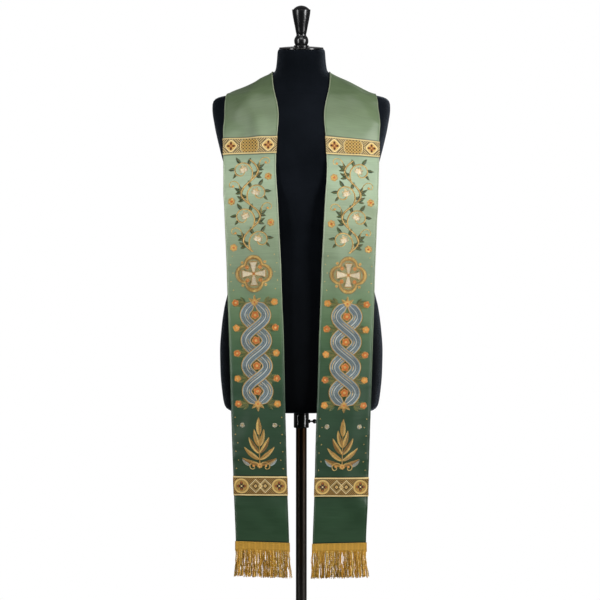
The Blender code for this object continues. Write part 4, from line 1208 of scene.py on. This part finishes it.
class Work:
    """Stitches in millimetres. A place is a complex number, whose real part is out from the
    strip's middle and whose other part is down from the chest ribbon."""

    def __init__(self, seed):
        self.lines = []
        self.proud = 0.0  # how high the ground of the next stitches stands
        self.chance = np.random.default_rng(seed)

    def line(self, path, lifts, colour, radius=THREAD):
        """A thread through some places, each with how proud it stands."""
        shade = np.array(colour)
        shade[:3] *= 1 + self.chance.uniform(-0.10, 0.10)
        self.lines.append((np.array(path), np.array(lifts) + self.proud, shade, radius))

    def stitch(self, one, two, colour, lift=0.35, radius=THREAD):
        """One stitch, its ends under the cloth and its middle proud."""
        self.line((one, (one + two) / 2, two), (lift * 0.2, lift, lift * 0.2), colour, radius)

    def satin(self, path, half, colour, slant=0.0, lift=0.45):
        """Stitches side by side across a path, of a half width that may change along it."""
        run = running(path)
        where = np.arange(STEP / 2, run[-1], STEP)
        lean = np.interp(where, run, headings(path)) * 1j * way(-slant)
        lean = lean * np.interp(where, run, np.broadcast_to(half, len(path)))
        for centre, reach in zip(np.interp(where, run, path), lean):
            reach *= 1 + self.chance.uniform(-0.06, 0.06)
            self.stitch(centre - reach, centre + reach, colour, lift)

    def cord(self, path, colour, radius=0.42, lift=0.5, step=2.4):
        """A thread laid along a path."""
        run = running(path)
        where = np.linspace(0.0, run[-1], max(3, int(run[-1] / step) + 1))
        lifts = np.full(len(where), lift)
        lifts[[0, -1]] = 0.0
        self.line(np.interp(where, run, path), lifts, colour, radius)

    def leaf(self, root, angle, length, width, near, far, bend=0.0, vein=None):
        """A pointed leaf in two tones of slanting stitches that meet along its vein."""
        t = np.linspace(0.0, 1.0, 24)
        ways = way(angle + bend * t)
        spine = root + np.cumsum(ways * (t > 0)) * length / 23
        swell = width / 2 * np.sin(pi * t**0.8) ** 0.85
        starts = np.arange(0.4 / length, 0.90, STEP * 1.12 / length)
        ends = np.minimum(1.0, starts + 0.44 * swell.max() / length + 0.04)
        for side, colour in ((1j, near), (-1j, far)):
            margin = spine + side * ways * swell
            for start, end in zip(np.interp(starts, t, spine), np.interp(ends, t, margin)):
                self.stitch(start, end, colour, 0.40)
        if vein is not None:
            self.cord(spine[:-1], vein, 0.22, 0.62, length / 6)

    def petal(self, root, angle, length, width, colour, tip=None):
        """A rounded petal of stitches that run along it."""
        for share in np.linspace(-1.0, 1.0, max(3, int(width / (STEP * 0.95)))):
            dip = 0.10 * (1 - abs(share)) * (abs(share) < 0.2)
            out = 1j * share * width
            start = root + way(angle) * out * 0.16
            end = root + way(angle) * (length * (1 - 0.42 * share**2 - dip) + out * 0.5)
            self.stitch(start, end, colour, 0.55)
            if tip is not None:
                middle = start + (end - start) * 0.62
                self.stitch(middle, end + way(angle) * 0.1, tip, 0.66, THREAD * 0.8)

    def knot(self, centre, size, colour):
        """A French knot."""
        ring = centre + way(np.linspace(0.0, tau * 1.05, 7)) * size * 0.5
        self.line(ring, np.linspace(0.55, 0.85, 7), colour, size * 0.42)

    def rosette(self, centre, radius, petals, colour, heart, tip=None, turn=0.3):
        """A round flower with knots at its heart."""
        for angle in turn + tau * np.arange(petals) / petals:
            root = centre + way(angle) * radius * 0.22
            self.petal(root, angle, radius * 0.80, radius * 1.02 * 5 / petals, colour, tip)
        self.knot(centre, radius * 0.22, heart)
        for out in way(tau * np.arange(5) / 5):
            self.knot(centre + out * radius * 0.22, radius * 0.15, heart)

    def lily(self, centre, angle, size):
        """Three open petals, two that curl back, and gold stamens."""
        for lean, length, width in ((1.25, 0.72, 0.36), (0.62, 0.95, 0.44), (0.0, 1.1, 0.5)):
            for turn in (-lean, lean) if lean else (lean,):
                self.petal(centre, angle + turn, size * length, size * width, IVORY, FLAX)
        for turn in (-0.3, 0.0, 0.3):
            reach = way(angle + turn) * size
            self.stitch(centre, centre + reach * 0.55, BRIGHT_GOLD, 0.9, 0.2)
            self.knot(centre + reach * 0.6, size * 0.10, BRIGHT_GOLD)

    def crosslet(self, centre, size, colour):
        """A small seed: an upright cross with a short saltire over it."""
        for reach, lift, radius in (
            (1, 0.4, 0.26), (1j, 0.5, 0.26), (0.45 - 0.45j, 0.6, 0.22), (0.45 + 0.45j, 0.6, 0.22),
        ):
            self.stitch(centre - reach * size, centre + reach * size, colour, lift, radius)

    def scroll(self, centre, start, turns, end_radius, hand, thick):
        """A satin scroll that winds in from a start point round a centre. Gives its path."""
        t, out = np.linspace(0.0, 1.0, 60), start - centre
        shrink = (end_radius / abs(out)) ** (t**0.9)
        path = centre + out * shrink * way(hand * t * turns * tau)
        self.satin(path, np.linspace(*thick, 60), BRIGHT_GOLD, 0.7)
        return path


def vine(work, top, foot, bays=4):
    """An undulating gold stem. A scroll curls back into each bay and ends in a lily."""
    pitch = (foot - top) / bays

    def on_stem(v):
        return 20.0 * np.sin((foot - v) / pitch * pi) + 1j * v

    stem = on_stem(np.linspace(foot, top, 120))
    work.satin(stem, np.linspace(2.5, 1.5, 120), BRIGHT_GOLD, 0.7)
    for shift, colour in ((-2.1, OLD_GOLD), (0.4, SUNLIT_GOLD), (2.2, OLD_GOLD)):
        work.cord(stem + shift, colour, 0.38, 0.62)
    for bay in range(bays):
        bulge = (-1.0) ** bay
        middle = 1j * (foot - pitch * (bay + 0.5))
        centre, start = middle - bulge * 19 + 1j, middle + bulge + 0.5j * pitch
        scroll = work.scroll(centre, start, 1.12, 8.0, -bulge, (2.1, 1.1))
        work.cord(scroll + (0.7 + 0.7j), SUNLIT_GOLD, 0.34, 0.70)
        work.cord(scroll - (0.9 + 0.9j), OLD_GOLD, 0.34, 0.55)
        work.lily(scroll[-1], np.angle(scroll[-1] - scroll[-4]) - bulge * 0.5, 16.5)
        green = (LEAF_DARK, LEAF_MID, bulge * 0.5, DEEP_GOLD)
        for k, length in ((5, 15), (13, 18), (21, 18), (30, 16), (37, 13)):
            angle = np.angle(scroll[k + 1] - scroll[k]) + bulge * 0.95
            work.leaf(scroll[k], angle, length, length * 0.46, *green)
        green = (LEAF_MID, LEAF_DARK, -bulge * 0.3, DEEP_GOLD)
        for lag in (0.26, 0.60):
            for fan in (-0.8, 0.0, 0.8):
                angle = pi * (bay % 2) - bulge * (0.35 - fan)
                root = on_stem(foot - pitch * (bay + lag))
                work.leaf(root, angle, 18.0 - 4 * abs(fan), 7.2, *green)
        centre, start = middle + bulge * 40 - 19j, middle + bulge * 23 - 8j
        curl = work.scroll(centre, start, 1.0, 3.0, bulge, (1.2, 0.7))
        work.knot(curl[-1], 3.0, AMBER)
        work.rosette(middle + bulge * 43 + 15j, 8.6, 6, BRIGHT_GOLD, ORANGE, AMBER)


def quatrefoil(work, centre, reach):
    """A gold-bordered quatrefoil with a laid lattice and a splayed cross."""
    t = np.linspace(0.0, tau, 161)
    from_axis = (t + pi / 4) % (pi / 2) - pi / 4
    size = 0.5 * np.cos(from_axis) + np.sqrt(0.25 - (0.5 * np.sin(from_axis)) ** 2 + 1e-9)
    ring = way(t) * reach * size
    for ahead, colour in ((way(pi / 4), DEEP_GOLD), (way(pi * 3 / 4), BRIGHT_GOLD)):
        inside = ring * 0.80 / ahead
        for offset in np.arange(-reach + 0.4, reach, 3.1):
            far = inside.imag - offset
            k = np.flatnonzero(far[:-1] * far[1:] < 0)  # the sides that the line goes through
            share = far[k] / (far[k] - far[k + 1])
            found = np.sort((inside[k] + (inside[k + 1] - inside[k]) * share).real)
            for a, b in found.reshape(-1, 2):
                path = centre + ahead * (np.array((a, (a + b) / 2, b)) + 1j * offset)
                work.cord(path, colour, 0.26, 0.3, 8.0)
    for share, half, colour in ((0.93, 2.7, BRIGHT_GOLD), (0.835, 1.1, DEEP_GOLD)):
        work.satin(centre + ring * share, half, colour, 0.25, 0.9)
    for share in (1.01, 0.865, 0.80):
        work.cord(centre + ring * share, OLD_GOLD, 0.42, 0.6)
    for angle in pi / 2 * np.arange(4):
        ahead = way(angle)
        arm = centre + ahead * np.linspace(3.0, reach * 0.62, 12)
        work.satin(arm, np.linspace(2.0, 8.4, 12), IVORY, lift=0.95)
        tip = centre + ahead * reach * 0.645
        work.satin(tip + ahead * np.array((-9j, 9j)), 1.1, DEEP_GOLD, lift=1.0)
        for k in (-1.0, 1.0):
            edge = np.array((centre + ahead * (2.4 + 2.2j * k), tip + ahead * 8.6j * k))
            work.cord(edge, DEEP_GOLD, 0.46, 0.9)
            root = centre + ahead * (1 + 0.25j * k) * reach * 0.36
            work.leaf(root, angle + k * 0.62, 12.0, 5.0, LEAF_MID, LEAF_DARK, k * 0.3)
        corner = way(angle + pi / 4) * reach
        work.rosette(centre + corner * 0.50, 4.8, 5, ORANGE, BRIGHT_GOLD, AMBER)
        work.rosette(centre + corner * 0.88, 3.6, 4, BRIGHT_GOLD, ORANGE)
    work.rosette(centre, 6.4, 6, DEEP_GOLD, ORANGE, BRIGHT_GOLD, 0.0)


def guilloche(work, top, foot, eyes=4, swing=23.5, half=10.4):
    """Two broad strands that pass over and under each other, with a rosette in each eye."""
    pitch = (foot - top) / eyes
    v = np.linspace(top, foot, 240)
    phase = (v - top) / pitch * pi
    taper = np.clip(np.minimum(v - top, foot - v) / 13.0 + 0.25, 0.0, 1.0)
    tones = (MIST, BLUE_GREY, MIST, SLATE, BLUE_GREY, SLATE)
    tones += (SILVER, BLUE_GREY, SLATE, BLUE_GREY, MIST, IVORY)
    tones += tones[-2::-1]
    for hand in (1.0, -1.0):
        centre = hand * swing * np.sin(phase) + 1j * v
        side = 1j * headings(centre) * taper
        over = 0.85 * np.maximum(0.0, hand * np.cos(phase)) ** 0.7
        offsets = np.linspace(1.1 - half, half - 1.1, len(tones))
        for number, (offset, tone) in enumerate(zip(offsets, tones)):
            path = centre + side * offset
            run = running(path)
            for start in np.arange(-3.0 * (number % 3) - 1.0, run[-1], 7.6):
                where = np.clip(np.array((start, start + 3.9, start + 7.8)), 0.0, run[-1])
                if where[2] - where[0] > 2.0:
                    lifts = np.interp(where, run, over) + (0.12, 0.44, 0.12)
                    work.line(np.interp(where, run, path), lifts, tone, 0.47)
        for edge, colour, radius in ((half, BRIGHT_GOLD, 0.6), (half + 1.2, OLD_GOLD, 0.42)):
            for out in (-edge, edge):
                work.line((centre + side * out)[::2], over[::2] + 0.45, colour, radius)
        for number, gleam in enumerate(np.arange(pitch * 0.5, foot - top - 16.0, pitch * 0.5)):
            k = np.argmin(np.abs(v - top - gleam))  # a gold light on the strand
            path = (centre + side * (5.0 * (-1) ** number))[k - 13 : k + 14]
            lift = np.interp(gleam, v - top, over) + 0.7
            swell = 1.5 * np.sin(np.linspace(0.2, 2.95, len(path)))
            work.satin(path, swell, SUNLIT_GOLD, 0.9, lift)
    for eye in range(eyes):
        middle = 1j * (top + pitch * (eye + 0.5))
        work.rosette(middle, 9.4, 5, ORANGE, BRIGHT_GOLD, AMBER, 0.3 + eye)
    for end, angle in ((top, -pi / 2), (foot, pi / 2)):
        for lean in (-1.1, 1.1, 0.0):
            gold = (BRIGHT_GOLD, DEEP_GOLD, -0.3 * lean, OLD_GOLD)
            work.leaf(1j * end, angle + lean, 17.0, 7.0, *gold)
        work.proud = 1.2
        work.rosette(1j * end, 8.0, 6, BRIGHT_GOLD, ORANGE, AMBER)
        work.proud = 0.0
    for crossing in range(eyes + 1):
        for hand in (-1.0, 1.0):
            root = hand * 19.0 + 1j * (top + pitch * crossing)
            work.satin(root + hand * np.array((0.0, 20.0)), 0.8, OLD_GOLD, 0.6)
            for lean, length in ((-1.05, 17.0), (1.05, 17.0), (-0.5, 25.0), (0.5, 25.0)):
                green = (OLIVE, LEAF_MID, -0.35 * copysign(1, lean), OLD_GOLD)
                angle = (0.0 if hand > 0 else pi) + lean
                work.leaf(root + hand * 3.0, angle, length, 8.0, *green)
            flower = ORANGE if (crossing + (hand > 0)) % 2 else AMBER
            work.rosette(root + hand * 24.5, 8.2, 5, flower, BRIGHT_GOLD, AMBER, crossing)


def palmette(work, top, foot):
    """Gold fronds that open like a fan above two small scrolls."""
    base, height = 1j * (foot - 12), foot - top
    stem = 1j * np.linspace(foot - 12, top + 38, 12)
    work.satin(stem, np.linspace(1.6, 0.8, 12), DEEP_GOLD, 0.7)
    gold = (BRIGHT_GOLD, DEEP_GOLD, 0.0, OLD_GOLD)
    work.leaf(1j * (top + 42), -pi / 2, 40.0, 12.0, *gold)
    for hand in (-1.0, 1.0):
        for rise, lean, length, width, near, far in (
            (0.52, 0.50, 41.0, 10.0, DEEP_GOLD, BRIGHT_GOLD),
            (0.33, 0.78, 44.0, 10.5, BRIGHT_GOLD, OLD_GOLD),
            (0.16, 1.10, 45.0, 10.0, DEEP_GOLD, BRIGHT_GOLD),
            (0.02, 1.42, 42.0, 9.5, OLD_GOLD, DEEP_GOLD),
        ):
            root, angle = base - 1j * rise * (height - 40.0), -pi / 2 + hand * lean
            work.leaf(root, angle, length, width, near, far, -hand * 0.45, OLD_GOLD)
        curl = work.scroll(base + hand * 15 + 3j, base, 1.15, 2.6, hand, (1.5, 0.7))
        work.knot(curl[-1], 3.0, AMBER)
        angle = -hand * 0.5 + (0.0 if hand > 0 else pi)
        grey = (SILVER, MIST, -hand * 0.4, OLD_GOLD)
        work.leaf(base + hand * 22, angle, 22.0, 7.0, *grey)
        work.rosette(base + hand * 36 - 0.74j * height, 5.4, 5, SILVER, BRIGHT_GOLD, IVORY)
    work.rosette(base, 6.5, 6, BRIGHT_GOLD, ORANGE, AMBER)


for word, strip in STRIPS:
    top = row_down(strip, "upper_band_bottom")
    reach = (row_down(strip, "lower_band_top") - top) * 1000
    work = Work(90 + strip.side)
    vine(work, 13.0, 221.0)
    quatrefoil(work, 270j, 41.0)
    guilloche(work, 334.0, 560.0)
    palmette(work, 588.0, reach - 12.0)
    for level in np.arange(20.0, reach - 12.0, 19.0):
        if 228 < level < 318 or level > 574:
            out = 52 - 5 * (int(level) % 2)
            for place in (-out + 1j * level, out + 1j * level):
                work.crosslet(place, 1.7, BRIGHT_GOLD)
    made = {"stitches": [], "cords": []}
    for path, lifts, colour, radius in work.lines:
        down, across = top + path.imag / 1000, path.real / 1000
        line = on_strip(strip, down, across, lifts / 1000 - 0.0001)
        made["stitches" if len(path) == 3 else "cords"].append((line, colour, radius / 1000))
    for (kind, lines), sides in zip(made.items(), (3, 4)):
        piece = threads(f"{word}_{kind}", lines, rayon_thread, "green_satin", Sides=sides)
        trimmings[word].append(piece)

# ---------------------------------------------------------------- fringes
# A ribbed gold braid is sewn over each hem. From its lower edge hang twisted two-ply cords in
# three rows, a little uneven in length and pushed about by their neighbours.
FRINGE_GOLD = yarn(196, 150, 56, 0.25)
BRAID_THICK = 0.0012
BRAID_OVERHANG = 0.0005
CORD_OVERHANG = 0.0006
CORDS = 72
CORD_LENGTH = 0.0595
CORD_PROUD = (0.0014, 0.0006, -0.0002)  # of the hem, a row each from the front
CORD_LOOKS = {
    "Steps": 34, "Sides": 4, "Plies": 2, "Ply Spread": 0.00047, "Twist Pitch": 0.0085,
    "Wander": 0.0046, "Wander Scale": 95.0,
}
PALE_CORD, DEEP_CORD = linear(230, 194, 104), linear(200, 148, 40)


def braid_colours(s, t, half):
    """Gold, with painted shade between the ribs, and a little deeper along the two edges."""
    shade = 0.72 + 0.36 * (0.5 + 0.5 * np.cos(s * tau / 1.9))
    shade = shade + 0.10 * np.sin(s * 0.7) * np.sin(s * 0.23 + 1.0)
    shade = shade * np.where(np.abs(np.abs(t) - half + 2.2) < 0.5, 0.82, 1.0)
    colours = np.ones((*s.shape, 4)) * FRINGE_GOLD
    colours[..., :3] *= shade[..., None]
    return colours


def braid_ribs(s):
    return 0.00022 * np.sqrt(0.5 + 0.5 * np.cos(s * tau / 1.9))


braid_weave = woven_metal("fringe_braid", 0.0019, 0.0008)
fringe_cord = rayon("fringe_cord", (0.26, 0.46), 0.7, (1.0, 0.74, 0.34))
for word, strip in STRIPS:
    top, foot = row_down(strip, "heading_top"), float(strip.down[-1])
    look = (braid_colours, BRAID_THICK, braid_weave, "gold_fringe", f"{word}_fringe")
    name = f"{word}_fringe_heading"
    braid = tape(name, strip, top, foot + 0.0006, *look, BRAID_OVERHANG, braid_ribs)
    chance = np.random.default_rng(300 + strip.side)
    half = float(strip.width[-1]) / 2 + CORD_OVERHANG
    t = np.linspace(0.0, 1.0, 9)
    lines = []
    for layer, proud in enumerate(CORD_PROUD):
        count = CORDS - 7 * layer
        for number in range(count):
            share = (number + 0.5) / count * 2 - 1
            length = CORD_LENGTH + chance.uniform(-0.0022, 0.0022)
            clump = 0.0010 * sin(share * 19.0 + strip.side) + 0.0010 * sin(share * 47.0)
            drift = 0.0026 * share + clump + chance.normal(0.0, 0.0015)
            bow = chance.normal(0.0, 0.0012)
            lean = chance.normal(0.0, 0.0008) - 0.0003 * (2 - layer)
            sway = strip.side * (drift * t**1.7 + bow * np.sin(t * pi * 1.7))
            depth = lean * t**1.5 - 0.0005 * np.sin(t * pi) * (2 - layer)
            start = on_strip(strip, foot - 0.0012, share * half, proud)
            path = start + np.column_stack([sway, depth, -length * t])
            # A random share of cords is paler, partly a mixed yarn and partly a painted highlight.
            # The rows further back are painted darker, as painted shade.
            tone = np.array(PALE_CORD if chance.uniform() < 0.26 else DEEP_CORD)
            tone *= chance.uniform(0.55, 1.30) * (1.0 - 0.16 * layer)
            lines.append((path, (*tone, 0.30), chance.uniform(0.00044, 0.00060)))
    looks = {**CORD_LOOKS, "Seed": 5 + strip.side}
    cords = threads(f"{word}_fringe_cords", lines, fringe_cord, "gold_fringe", **looks)
    trimmings[word] += [braid, cords]

# ---------------------------------------------------------------- cloth sheets
# Each strip was cut flat before it was joined at the nape and hung, and carries its trimmings.
for word, strip in STRIPS:
    length = float(running(strip.face[:, len(strip.shares) // 2])[-1])
